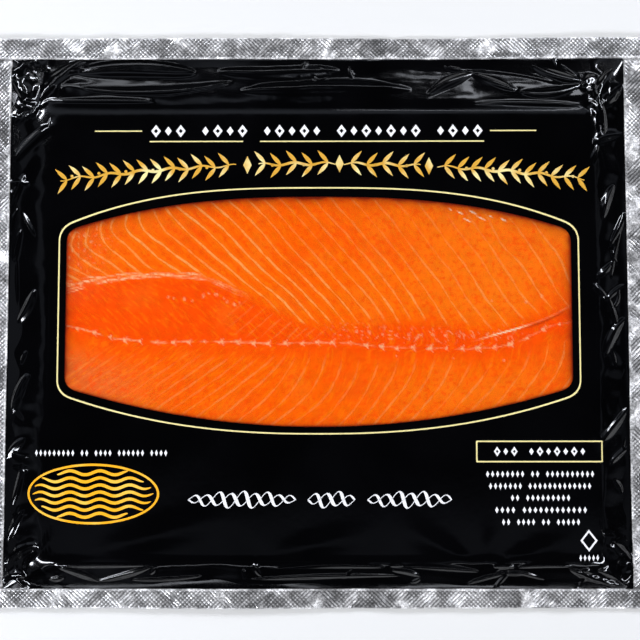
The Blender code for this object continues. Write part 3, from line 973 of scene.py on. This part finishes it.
    loop = rim_loop(*x.shape)
    foot = upper_points[loop].copy()
    foot[:, :2] *= 0.995
    foot[:, 2] = FISH_RISE[0]
    count = len(upper_points)
    ring_ids = count + np.arange(len(loop))
    wall = np.column_stack([loop, np.roll(loop, -1), np.roll(ring_ids, -1), ring_ids])
    faces = [np.vstack([grid_faces(*x.shape), wall]), ring_ids[None, :]]
    piece = make_piece(
        "sliced_salmon", np.vstack([upper_points, foot]), faces, salmon_material(settings),
        ("salmon_fillet",),
    )
    pad = np.zeros(len(loop))
    for name, values in (
        ("upper_phase", upper), ("upper_gap", upper_gap), ("upper_strength", upper_strength),
        ("lower_phase", lower), ("lower_gap", lower_gap), ("lower_strength", lower_strength),
        ("marks", marks), ("shadow", shadow), ("side", smoothstep(-2 * MM, 2 * MM, y - seam(x))),
    ):
        add_attribute(piece, name, np.concatenate([values.ravel(), pad]))
    colours = flesh_colours(x, y, seam, belly, settings).reshape(-1, 3)
    add_colour_attribute(piece, "flesh", np.vstack([colours, colours[loop]]))
    return piece


# ---------------------------------------------------------------- films


def build_printed_film(settings):
    """The printed front: one sheet from the seal to the window, closed by a plain underside."""
    outer, shoulder, inner = seal_ring(), shoulder_ring(), window_ring()
    shares = np.concatenate([np.linspace(0, 1, 40), 1 + np.linspace(0, 1, 17)[1:] ** 1.6])
    share = shares[:, None, None]
    on_slope = outer + (shoulder - outer) * share
    plan = np.where(share <= 1, on_slope, shoulder + (inner - shoulder) * (share - 1))
    x, y = plan[..., 0], plan[..., 1]
    top = np.dstack([x, y, film_height(x, y)])
    under_rows = [-1, 47, 40, 20, 0]
    under_x, under_y = x[under_rows], y[under_rows]
    low = border_height(under_x, under_y)
    climb = climb_at(under_x, under_y)
    rise = (face_height(under_x, under_y) - low) * slope_rise(climb)
    slack = 0.5 * MM * np.sin(np.pi * np.clip(climb, 0, 1)) + FILM
    under = np.dstack([under_x, under_y, low + rise - slack])
    points = np.vstack([top, under])
    faces = grid_faces(*points.shape[:2], wrap_rows=True, wrap_columns=True)
    return make_piece(
        "printed_front_film", points, [faces], printed_film_material(settings),
        ("printed_panel",),
    )


def build_window_film():
    """Clear film over the window, tucked a little under the print."""
    left, right, _, _ = grown(WINDOW_BOX, 1.0 * MM)
    u, v = np.meshgrid(np.linspace(0, 1, 200), np.linspace(0, 1, 90))
    x = left + (right - left) * u
    top_edge, bottom_edge = window_edge(x, -1.0 * MM)
    y = top_edge + (bottom_edge - top_edge) * v
    ripple = 0.10 * MM * noise(x, y, 7 * MM, 91) ** 2
    upper = face_height(x, y) - 0.1 * MM + ripple * 0.3
    points = np.stack([np.dstack([x, y, upper]), np.dstack([x, y, upper - 0.06 * MM])])
    return make_piece(
        "window_film", points, slab_faces(*x.shape), window_film_material(),
        ("front_film",),
    )


def wandered(x, y):
    """The cut edge wanders in and out a little, inside the pack's box."""
    turn = turn_of(x, y)
    by = EDGE_WANDER * (0.5 + 0.3 * np.sin(5 * turn + 1.0) + 0.2 * np.sin(11 * turn))
    return x * (1 - by / PACK_WIDTH), y * (1 - by / PACK_DEPTH)


def build_seal(name, corners, worn, settings):
    """One side's heat seal: a closed sheet with pyramids pressed into it.

    corners are the ends of its outer edge and of its inner edge, and worn widens the patches where
    the press slid.  The sheet's own rows and columns carry the knurl, so the pattern stays even: its
    height is the product of two triangle waves along the sheet's diagonals.
    """
    (ax, ay), (bx, by), (cx, cy), (dx, dy) = corners
    step = settings.knurl_pitch * math.sqrt(2) / 6
    columns = int(round(math.hypot(bx - ax, by - ay) / step)) + 1
    rows = int(round(math.hypot(dx - ax, dy - ay) / step)) + 1
    i, j = np.meshgrid(np.arange(rows), np.arange(columns), indexing="ij")
    v, u = i / (rows - 1), j / (columns - 1)
    x = (ax * (1 - u) + bx * u) * (1 - v) + (dx * (1 - u) + cx * u) * v
    y = (ay * (1 - u) + by * u) * (1 - v) + (dy * (1 - u) + cy * u) * v
    out_x, out_y = wandered(x, y)
    x, y = x + (out_x - x) * (1 - v), y + (out_y - y) * (1 - v)

    def wave(k):
        return 2 * np.abs(k / 6 - np.round(k / 6))

    # Where the press slid, one set of grooves fades and lines are left of the pyramids
    rising_fade = 0.85 * smoothstep(0.1 - worn, 0.5 - worn, noise(x, y, 8 * MM, 105))
    falling_fade = 0.85 * smoothstep(0.1 - worn, 0.5 - worn, noise(x, y, 8 * MM, 106))
    along_rising = wave(i + j) + (1 - wave(i + j)) * rising_fade
    along_falling = wave(i - j) + (1 - wave(i - j)) * falling_fade
    pyramids = along_rising * along_falling
    inwards = rows - 1 - i
    plain = smoothstep(0.6, 2.2, i) * smoothstep(4.5, 7.0, inwards)
    dents = 0.8 + 0.5 * noise(x, y, 2.5 * MM, 101)
    emboss = settings.knurl_height * pyramids * plain * dents
    bead = 0.22 * MM * np.exp(-(((inwards - 4.6) / 1.5) ** 2))
    rising, falling = (x + y) * math.sqrt(0.5), (x - y) * math.sqrt(0.5)
    one_way, other_way = noise(rising / 3, falling, 4.5 * MM, 102), noise(rising, falling / 3, 5 * MM, 103)
    buckle = 0.16 * MM * (one_way + other_way) + 0.16 * crumple(x, y, 9 * MM, 104)
    buckle *= smoothstep(-0.05, 0.3, 1 - v)
    z = border_height(x, y) + emboss + bead + buckle - FILM
    points = np.stack([np.dstack([x, y, z]), np.dstack([x, y, z - 0.15 * MM])])
    piece = make_piece(
        name, points, slab_faces(rows, columns), seal_material(settings),
        ("front_film", "back_film"),
    )
    # Painted light: glints on the knurl's tips, painted highlights along the outer edge and the bead, painted
    # shade in the grooves
    edge_line = np.exp(-(i / 1.2) ** 2) + 0.8 * np.exp(-(((inwards - 4.6) / 1.3) ** 2))
    painted_knurl_light = np.clip(1.6 * pyramids * dents, 0, 1) * plain + (1 - plain) * np.minimum(0.3 + edge_line, 1)
    # Painted sheen over broad patches where the film buckles
    painted_sheen = np.maximum(smoothstep(0.12, 0.42, one_way), smoothstep(0.12, 0.42, other_way))
    for attribute_name, values in (("painted_knurl_light", painted_knurl_light), ("painted_sheen", painted_sheen)):
        add_attribute(piece, attribute_name, np.concatenate([values.ravel(), values.ravel()]))
    return piece


def build_seals(settings):
    left, right, bottom, top = PACK_BOX
    inner = grown(PANEL_BOX, -0.7 * MM)
    i_left, i_right, i_bottom, i_top = inner
    sides = {
        "seal_top": (((left, top), (right, top), (right, i_top), (left, i_top)), 0.0),
        "seal_bottom": (((right, bottom), (left, bottom), (left, i_bottom), (right, i_bottom)), 0.0),
        "seal_left": (((left, i_bottom), (left, i_top), (i_left, i_top), (i_left, i_bottom)), 0.05),
        "seal_right": (((right, i_top), (right, i_bottom), (i_right, i_bottom), (i_right, i_top)), 0.4),
    }
    return [build_seal(name, corners, worn, settings) for name, (corners, worn) in sides.items()]


def build_back_film(settings):
    """The back: flat on the table, curling up to the seal, as a thin closed dish."""
    outer, shoulder = seal_ring(PLAIN_RING), shoulder_ring(PLAIN_RING)
    shares = np.array([0.0, 0.15, 0.3, 0.45, 0.6, 0.75, 0.88, 0.95])[:, None, None]
    plan = outer + (shoulder - outer) * shares
    x, y = plan[..., 0], plan[..., 1]
    flat = 1 - smoothstep(0, 0.95, np.broadcast_to(shares[..., 0], x.shape))
    low = (border_height(x, y) - WELD_LIFT) * flat
    low = np.maximum(low, 0.0)
    upper = np.dstack([x, y, low + 0.25 * MM])
    lower = np.dstack([x, y, low])
    rows, columns = x.shape
    points = np.vstack([upper[::-1], lower])
    walls = grid_faces(2 * rows, columns, wrap_columns=True)[:, ::-1]
    top_cap = np.arange(columns)[::-1][None, :]
    bottom_cap = ((2 * rows - 1) * columns + np.arange(columns))[None, :]
    return make_piece(
        "plain_back_film", points, [walls, top_cap, bottom_cap], printed_film_material(settings),
        ("back_film",),
    )


# ---------------------------------------------------------------- print

PRINT_LIFT, PRINT_DEPTH = 0.1 * MM, 0.05 * MM


def on_film(plan, lift):
    """Points in plan laid on the printed film, raised by lift."""
    x, y = plan[..., 0], plan[..., 1]
    return np.stack([x, y, film_height(x, y) + lift], -1)


def plates(outlines):
    """Thin closed plates from outlines of (count, size, 2), counterclockwise round their middles.

    Each is a fan round its middle on top, the same below, and a wall between.
    """
    outlines = np.asarray(outlines)
    count, size, _ = outlines.shape
    plan = np.concatenate([outlines, outlines.mean(1, keepdims=True)], 1)
    points = np.concatenate([on_film(plan, PRINT_LIFT), on_film(plan, -PRINT_DEPTH)], 1)
    k = np.arange(size)
    after = (k + 1) % size
    fan = np.column_stack([k, after, np.full(size, size)])
    under = fan[:, [1, 0, 2]] + size + 1
    wall = np.column_stack([k, k + size + 1, after + size + 1, after])
    shift = (np.arange(count) * 2 * (size + 1))[:, None, None]
    triangles = (np.vstack([fan, under])[None] + shift).reshape(-1, 3)
    return points.reshape(-1, 3), [triangles, (wall[None] + shift).reshape(-1, 4)]


def bands(outer, inner, closed):
    """Thin closed strips between two lines of (count, size, 2), the inner one on the left.

    Four corners are carried along each strip; an open strip gets a cap at each end.
    """
    outer, inner = np.asarray(outer), np.asarray(inner)
    count, size, _ = outer.shape
    corners = (
        on_film(outer, -PRINT_DEPTH), on_film(outer, PRINT_LIFT),
        on_film(inner, PRINT_LIFT), on_film(inner, -PRINT_DEPTH),
    )
    points = np.stack(corners, 1)
    quads = grid_faces(4, size, wrap_rows=True, wrap_columns=closed)
    if not closed:
        start = np.arange(4) * size
        quads = np.vstack([quads, start[::-1], start + size - 1])
    shift = (np.arange(count) * 4 * size)[:, None, None]
    return points.reshape(-1, 3), [(quads[None] + shift).reshape(-1, 4)]


def joined(*parts):
    """Several sets of points and faces as one."""
    points, faces, shift = [], [], 0
    for some_points, some_faces in parts:
        faces += [group + shift for group in some_faces]
        points.append(some_points)
        shift += len(some_points)
    return np.vstack(points), faces


def strokes(paths, half_widths):
    """Bands of changing width along paths of (count, size, 2)."""
    paths = np.asarray(paths)
    along = np.gradient(paths, axis=1)
    along /= np.linalg.norm(along, axis=2, keepdims=True)
    aside = np.stack([-along[..., 1], along[..., 0]], -1) * np.asarray(half_widths)[..., None]
    return bands(paths - aside, paths + aside, closed=False)


def leaf_outlines(bases, angles, length, half_width, size=9):
    """Leaves: from each base along its angle, with a half width that follows sin(pi t^0.8)."""
    t = np.linspace(0.0, 1.0, size)
    bulge = half_width * np.sin(np.pi * t**0.8)
    along = np.concatenate([t, t[-2:0:-1]]) * length
    across = np.concatenate([-bulge, bulge[-2:0:-1]])
    c, s = np.cos(angles)[:, None], np.sin(angles)[:, None]
    x = bases[:, :1] + along * c - across * s
    y = bases[:, 1:] + along * s + across * c
    return np.stack([x, y], -1)


def lozenges(centres, half_width, half_height):
    """Upright lozenges."""
    corners = np.array([[1, 0], [0, 1], [-1, 0], [0, -1]]) * (half_width, half_height)
    return np.asarray(centres)[:, None] + corners


def ovals(centres, half_width, half_height, size=16):
    turn = 2 * np.pi * np.arange(size) / size
    round_points = np.column_stack([half_width * np.cos(turn), half_height * np.sin(turn)])
    return np.asarray(centres)[:, None] + round_points


def bead_places(left, right, y, words):
    """Places for a row of beads from left to right, in words of so many beads with a gap between."""
    slots = np.concatenate([np.arange(n) + sum(words[:k]) + k for k, n in enumerate(words)])
    pitch = (right - left) / (sum(words) + len(words) - 1)
    return np.column_stack([left + (slots + 0.5) * pitch, np.full(len(slots), y)])


def bead_row(left, right, y, words, height):
    """Open lozenges with small filled ones between them, where a heading stands."""
    places = bead_places(left * MM, right * MM, y * MM, words)
    width = 0.34 * (places[1, 0] - places[0, 0])
    half = height * MM / 2
    line = 0.62 * MM * half / (2.2 * MM)
    big, small = places[::2], places[1::2]
    outer = lozenges(big, width * 1.15, half)
    inner = lozenges(big, width * 1.15 - 1.5 * line, half - 2.3 * line)
    return joined(bands(outer, inner, closed=True), plates(lozenges(small, width * 0.8, half * 0.72)))


# Rows of small print: left and right end, height on the pack, and beads in each word
SMALL_PRINT = (
    (-100, -52.5, -48.1, (9, 2, 4, 6, 4)),
    (58.9, 97.4, -55.5, (8, 2, 10)),
    (59.9, 96.3, -59.7, (7, 13)),
    (67.5, 88.9, -63.8, (2, 9)),
    (61.9, 94.7, -68.0, (4, 12)),
    (64.3, 92.2, -72.2, (2, 4, 2, 5)),
    (91.2, 98.6, -84.6, (5,)),
)
# The gold garland: left and right end of each of its three sprays
SPRAYS = ((-92, -29), (-21, 37), (43, 95.5))
OUTLINE_BOX = (-92.0 * MM, 92.9 * MM, -41.4 * MM, 46.2 * MM)
OUTLINE_SAGS, OUTLINE_POWERS = (14.3 * MM, 14.3 * MM), (2.9, 2.35)


def garland_height(x):
    """The garland's middle line: an arch over the window."""
    return 55.0 * MM - 5.8 * MM * ((x - 2 * MM) / (94 * MM)) ** 2


def spray(left, right, lean):
    """A stem along the arch with pairs of leaves that lean one way, and round berries beside every other pair."""
    x = np.linspace(left, right, 60) * MM
    t = np.linspace(0, 1, 60)
    stem = np.column_stack([x, garland_height(x) + 0.5 * MM * np.sin(2 * np.pi * (x / (11 * MM)))])
    stem_part = strokes([stem], [0.32 * MM * (0.5 + np.sin(np.pi * t))])
    count = int((right - left) / 4.6)
    base_x = np.linspace(left + 2.5, right - 2.5, count) * MM
    bases = np.column_stack([base_x, garland_height(base_x) + 0.5 * MM * np.sin(2 * np.pi * (base_x / (11 * MM)))])
    tilt = np.arctan(-2 * 5.8 * (base_x - 2 * MM) / (94 * MM) ** 2 * MM)
    middle = 0.0 if lean > 0 else np.pi
    parts = [stem_part]
    for side in (-1, 1):
        angles = middle + tilt + side * 0.85
        parts.append(plates(leaf_outlines(bases, angles, 6.0 * MM, 0.72 * MM)))
    berries = bases[1::2] + np.array([lean * 3.2 * MM, 0.0])
    parts.append(plates(ovals(berries, 0.55 * MM, 0.55 * MM, 10)))
    return parts


def build_window_outline(settings):
    """A thin gold line round the window."""
    counts = (160, 60, 16)
    half = settings.line_width / 2
    outer = ring(grown(OUTLINE_BOX, half), 5.0 * MM, OUTLINE_SAGS, OUTLINE_POWERS, counts)
    inner = ring(grown(OUTLINE_BOX, -half), 4.7 * MM, OUTLINE_SAGS, OUTLINE_POWERS, counts)
    points, faces = bands([outer], [inner], closed=True)
    gold = ink_material("pale gold ink", settings.gold, 0.3)
    return make_piece("gold_window_outline", points, faces, gold)


def rules(rows, half_width):
    """Straight level lines, each from left to right at a height."""
    t = np.linspace(0, 1, 24)
    paths = [np.column_stack([left + (right - left) * t, np.full(24, y)]) for left, right, y in rows]
    return strokes(np.array(paths) * MM, np.full((len(rows), 24), half_width))


def build_gold_rules(settings):
    """Dashes beside the heading, two lines under it, and the frame of the small panel."""
    rows = ((-79.8, -62.9, 66.9), (62.0, 78.5, 66.9), (-60.1, -26.6, 63.1), (-20.5, 59.8, 63.1))
    frame_box = (55.8 * MM, 100.4 * MM, -51.4 * MM, -43.8 * MM)
    counts, reach = (60, 12, 1), 0.3 * MM
    outer = ring(frame_box, reach, counts=counts)
    inner = ring(grown(frame_box, -0.5 * MM), reach, counts=counts)
    points, faces = joined(rules(rows, 0.22 * MM), bands([outer], [inner], closed=True))
    gold = ink_material("pale gold ink on the rules", settings.gold, 0.3)
    return make_piece("gold_rules", points, faces, gold)


def build_garland(settings):
    """The gold garland over the window: three sprays with lozenges between them."""
    parts = []
    for (left, right), lean in zip(SPRAYS, (-1, -1, 1)):
        if left < 0 < right:
            parts += spray(left, (left + right) / 2 - 1.5, -1) + spray((left + right) / 2 + 1.5, right, 1)
        else:
            parts += spray(left, right, lean)
    x = np.array([-25.0, 8.0, 40.0]) * MM
    parts.append(plates(lozenges(np.column_stack([x, garland_height(x)]), 1.5 * MM, 3.2 * MM)))
    points, faces = joined(*parts)
    gold = shaded_gold_material("shaded gold ink", settings.gold, settings.deep_gold)
    return make_piece("gold_garland", points, faces, gold)


def build_medallion(settings):
    """A gold oval of waves: wavy bands of changing length that together fill an oval."""
    centre = np.array([-79.0, -62.4]) * MM
    half_width, half_height, rows = 21.5 * MM, 8.6 * MM, 7
    t = np.linspace(-1, 1, 90)
    paths, widths = [], []
    for y in np.linspace(-0.86, 0.86, rows) * half_height:
        reach = half_width * math.sqrt(1 - (y / half_height / 1.06) ** 2)
        x = reach * t
        wave = 0.7 * MM * np.sin(2 * np.pi * x / (10.5 * MM))
        paths.append(centre + np.column_stack([x, y + wave]))
        widths.append(0.51 * MM * (1 - t**6) ** 0.5 + 0.03 * MM)
    ring_paths = ovals([centre, centre], half_width + 2.0 * MM, half_height + 2.0 * MM, 120)
    inner = ovals([centre], half_width + 1.2 * MM, half_height + 1.2 * MM, 120)
    points, faces = joined(strokes(paths, widths), bands(ring_paths[:1], inner, closed=True))
    gold = shaded_gold_material("shaded amber ink", settings.light_amber, settings.amber)
    return make_piece("gold_wave_medallion", points, faces, gold)


def build_heading(settings):
    """White rows of beads: the heading over the window and the one in the small gold panel."""
    points, faces = joined(
        bead_row(-60.1, 59.8, 66.9, (3, 4, 5, 7, 4), 4.6),
        bead_row(61.7, 94.8, -47.6, (3, 7), 3.4),
    )
    white = ink_material("white ink of the headings", settings.white, 0.3)
    return make_piece("white_bead_rows", points, faces, white)


def build_small_print(settings):
    """Rows of slim lozenges where the small print stands, and one open lozenge."""
    outlines = []
    for left, right, y, words in SMALL_PRINT:
        places = bead_places(left * MM, right * MM, y * MM, words)
        width = 0.33 * (places[1, 0] - places[0, 0])
        outlines.append(lozenges(places, width, 1.15 * MM))
    centre = [(94.9 * MM, -78.6 * MM)]
    mark = bands(lozenges(centre, 3.0 * MM, 3.8 * MM), lozenges(centre, 2.2 * MM, 2.8 * MM), closed=True)
    points, faces = joined(plates(np.concatenate(outlines)), mark)
    white = ink_material("white ink of the small print", settings.white, 0.3)
    return make_piece("white_small_print", points, faces, white)


def build_flourish(settings):
    """Three plaits of two pen strokes each: slanted waves that cross, thick going down."""
    paths, widths = [], []
    for left, right, waves in ((-45.4, -7.5, 4.5), (-3.4, 13.3, 2.0), (17.5, 47.2, 3.5)):
        t = np.linspace(0, 1, 260)
        swell = np.clip(np.sin(np.pi * t), 0, 1) ** 0.4
        for strand in (0, np.pi):
            turn = 2 * np.pi * waves * t + strand
            y = (2.9 - strand * 0.25) * swell * np.sin(turn)
            x = left + (right - left) * t + 0.22 * y
            paths.append(np.column_stack([x, -64.4 + y]) * MM)
            widths.append((0.13 + 0.5 * smoothstep(-0.4, 1.0, -np.cos(turn)) * swell) * MM)
    points, faces = strokes(paths, widths)
    white = ink_material("white ink of the flourish", settings.white, 0.3)
    return make_piece("white_flourish", points, faces, white)


# ---------------------------------------------------------------- stage


def add_light(name, azimuth, zenith, distance, size, radiance, colour=(0.93, 0.97, 1.06)):
    """A soft box seen from the pack at an azimuth and an angle from straight up, in degrees.

    Its power is radiance times pi times its area.
    """
    light = bpy.data.lights.new(name, "AREA")
    light.shape = "RECTANGLE"
    light.size, light.size_y = size
    light.energy = radiance * math.pi * size[0] * size[1]
    light.color = colour
    lamp = bpy.data.objects.new(name, light)
    a, z = math.radians(azimuth), math.radians(zenith)
    place = Vector((math.sin(z) * math.cos(a), math.sin(z) * math.sin(a), math.cos(z))) * distance
    lamp.location = place
    lamp.rotation_euler = place.to_track_quat("Z", "Y").to_euler()
    lamp.visible_camera = False
    bpy.context.scene.collection.objects.link(lamp)
    return lamp


def studio_world():
    """Dark walls with paler patches, most of all at the back, and two faint glows near overhead."""
    world = bpy.data.worlds.new("studio")
    world.use_nodes = True
    node = partial(add_node, world.node_tree)
    direction = node("TexCoord", output="Generated")
    front_to_back = node("SeparateXYZ", {0: direction}, output="Y")
    up = node("SeparateXYZ", {0: direction}, output="Z")
    walls = node("MapRange", {0: up, 1: 0.02, 2: 0.25, 3: 0.036, 4: 0.006}, **SMOOTH)
    spots = node("TexNoise", {"Vector": direction, "Scale": 4.5, "Detail": 1.0})
    spots = node("MapRange", {0: spots, 1: 0.55, 2: 0.7, 4: 0.35}, **SMOOTH)
    overhead = node("MapRange", {0: up, 1: 0.85, 2: 0.7}, **SMOOTH)
    spots = node("Math", {0: spots, 1: overhead}, **TIMES)
    backwards = node("MapRange", {0: front_to_back, 1: 0.2, 2: 0.6, 3: 0.4}, **SMOOTH)
    spots = node("Math", {0: spots, 1: backwards}, **TIMES)
    behind = node("MapRange", {0: front_to_back, 1: 0.29, 2: 0.37, 4: 0.4}, **SMOOTH)
    fading = node("MapRange", {0: front_to_back, 1: 0.55, 2: 0.4}, **SMOOTH)
    behind = node("Math", {0: behind, 1: fading}, **TIMES)
    before = node("MapRange", {0: front_to_back, 1: -0.05, 2: -0.1, 4: 0.08}, **SMOOTH)
    fading = node("MapRange", {0: front_to_back, 1: -0.2, 2: -0.12}, **SMOOTH)
    before = node("Math", {0: before, 1: fading}, **TIMES)
    strength = walls
    for part in (spots, behind, before):
        strength = node("Math", {0: strength, 1: part}, **PLUS)
    set_inputs(world.node_tree.nodes["Background"], {"Color": (0.86, 0.94, 1.12, 1.0), "Strength": strength})
    return world


def build_stage():
    scene = bpy.context.scene
    scene.view_settings.view_transform = "Standard"
    camera_data = bpy.data.cameras.new("camera")
    camera_data.lens, camera_data.sensor_width = 70.0, 36.0
    camera = bpy.data.objects.new("camera", camera_data)
    camera.location = (3.31 * MM, -35.88 * MM, 447.92 * MM)
    camera.rotation_euler = [math.radians(a) for a in (4.507, 0.307, -0.031)]
    scene.collection.objects.link(camera)
    scene.camera = camera

    scene.world = studio_world()
    mesh = bpy.data.meshes.new("floor")
    half = 3.0
    mesh.from_pydata([(-half, -half, 0), (half, -half, 0), (half, half, 0), (-half, half, 0)], [], [(0, 1, 2, 3)])
    floor = bpy.data.objects.new("floor", mesh)
    board, _, _ = new_material("pale painted board", Base_Color=hex_colour("e4e4e2"), Roughness=0.7)
    mesh.materials.append(board)
    scene.collection.objects.link(floor)

    for azimuth, radiance in ((137, 58.0), (43, 46.0), (223, 62.0), (317, 35.0)):
        add_light(f"key_{azimuth}", azimuth, 55, 0.65, (0.4, 0.026), radiance)
    add_light("soft_back_left", 108, 61, 0.9, (0.22, 0.06), 3.0)
    add_light("soft_back_right", 72, 60, 0.9, (0.24, 0.07), 5.0)
    add_light("edge_back", 91, 66, 0.9, (0.7, 0.02), 4.0)
    add_light("edge_front", 269, 62, 0.9, (0.7, 0.02), 4.0)
    add_light("rim_back", 70, 31, 0.9, (0.3, 0.012), 5.0)
    fill = add_light("fill", 0, 0, 1.2, (0.8, 0.8), 2.2, (1.05, 1.0, 0.95))
    fill.visible_glossy = False


# ---------------------------------------------------------------- operators and panel


class FISHPACK_OT_salmon(bpy.types.Operator):
    """Adds the slab of sliced salmon"""

    bl_idname = "fishpack.salmon"
    bl_label = "Sliced salmon"

    def execute(self, context):
        build_fish(context.scene.fishpack_fish)
        return {"FINISHED"}


class FISHPACK_OT_printed_film(bpy.types.Operator):
    """Adds the black printed film with its pleats"""

    bl_idname = "fishpack.printed_film"
    bl_label = "Printed film"

    def execute(self, context):
        build_printed_film(context.scene.fishpack_film)
        return {"FINISHED"}


class FISHPACK_OT_window_film(bpy.types.Operator):
    """Adds the clear film over the window"""

    bl_idname = "fishpack.window_film"
    bl_label = "Window film"

    def execute(self, context):
        build_window_film()
        return {"FINISHED"}


class FISHPACK_OT_seals(bpy.types.Operator):
    """Adds the four knurled heat seals"""

    bl_idname = "fishpack.seals"
    bl_label = "Heat seals"

    def execute(self, context):
        build_seals(context.scene.fishpack_film)
        return {"FINISHED"}


class FISHPACK_OT_back_film(bpy.types.Operator):
    """Adds the plain back film"""

    bl_idname = "fishpack.back_film"
    bl_label = "Back film"

    def execute(self, context):
        build_back_film(context.scene.fishpack_film)
        return {"FINISHED"}


class FISHPACK_OT_gold_lines(bpy.types.Operator):
    """Adds the window's gold outline and the gold rules"""

    bl_idname = "fishpack.gold_lines"
    bl_label = "Gold lines"

    def execute(self, context):
        build_window_outline(context.scene.fishpack_print)
        build_gold_rules(context.scene.fishpack_print)
        return {"FINISHED"}


class FISHPACK_OT_garland(bpy.types.Operator):
    """Adds the gold garland over the window"""

    bl_idname = "fishpack.garland"
    bl_label = "Gold garland"

    def execute(self, context):
        build_garland(context.scene.fishpack_print)
        return {"FINISHED"}


class FISHPACK_OT_medallion(bpy.types.Operator):
    """Adds the gold oval of waves"""

    bl_idname = "fishpack.medallion"
    bl_label = "Gold medallion"

    def execute(self, context):
        build_medallion(context.scene.fishpack_print)
        return {"FINISHED"}


class FISHPACK_OT_white_rows(bpy.types.Operator):
    """Adds the white rows of beads and lozenges"""

    bl_idname = "fishpack.white_rows"
    bl_label = "White rows"

    def execute(self, context):
        build_heading(context.scene.fishpack_print)
        build_small_print(context.scene.fishpack_print)
        return {"FINISHED"}


class FISHPACK_OT_flourish(bpy.types.Operator):
    """Adds the white plaited flourish"""

    bl_idname = "fishpack.flourish"
    bl_label = "White flourish"

    def execute(self, context):
        build_flourish(context.scene.fishpack_print)
        return {"FINISHED"}


class FISHPACK_OT_stage(bpy.types.Operator):
    """Adds the floor, the lights, the world and the camera"""

    bl_idname = "fishpack.stage"
    bl_label = "Stage"

    def execute(self, context):
        build_stage()
        return {"FINISHED"}


OPERATORS = (
    FISHPACK_OT_salmon, FISHPACK_OT_printed_film, FISHPACK_OT_window_film, FISHPACK_OT_seals,
    FISHPACK_OT_back_film, FISHPACK_OT_gold_lines, FISHPACK_OT_garland, FISHPACK_OT_medallion,
    FISHPACK_OT_white_rows, FISHPACK_OT_flourish, FISHPACK_OT_stage,
)
SETTINGS = {
    "fishpack_fish": FishSettings,
    "fishpack_film": FilmSettings,
    "fishpack_print": PrintSettings,
}


class FISHPACK_PT_panel(bpy.types.Panel):
    """Settings of the pack, and a button for each of its pieces"""

    bl_idname = "FISHPACK_PT_panel"
    bl_label = "Smoked salmon pack"
    bl_space_type = "VIEW_3D"
    bl_region_type = "UI"
    bl_category = "Fish pack"

    def draw(self, context):
        for group, kind in SETTINGS.items():
            box = self.layout.box()
            for name in kind.__annotations__:
                box.prop(getattr(context.scene, group), name)
        for operator in OPERATORS:
            self.layout.operator(operator.bl_idname)


CLASSES = (*SETTINGS.values(), *OPERATORS, FISHPACK_PT_panel)


def register():
    for kind in CLASSES:
        bpy.utils.register_class(kind)
    for group, kind in SETTINGS.items():
        setattr(bpy.types.Scene, group, PointerProperty(type=kind))


def unregister():
    for group in SETTINGS:
        delattr(bpy.types.Scene, group)
    for kind in reversed(CLASSES):
        bpy.utils.unregister_class(kind)


def main():
    register()
    bpy.ops.fishpack.salmon()
    bpy.ops.fishpack.printed_film()
    bpy.ops.fishpack.window_film()
    bpy.ops.fishpack.seals()
    bpy.ops.fishpack.back_film()
    bpy.ops.fishpack.gold_lines()
    bpy.ops.fishpack.garland()
    bpy.ops.fishpack.medallion()
    bpy.ops.fishpack.white_rows()
    bpy.ops.fishpack.flourish()
    bpy.ops.fishpack.stage()


if __name__ == "__main__":
    main()
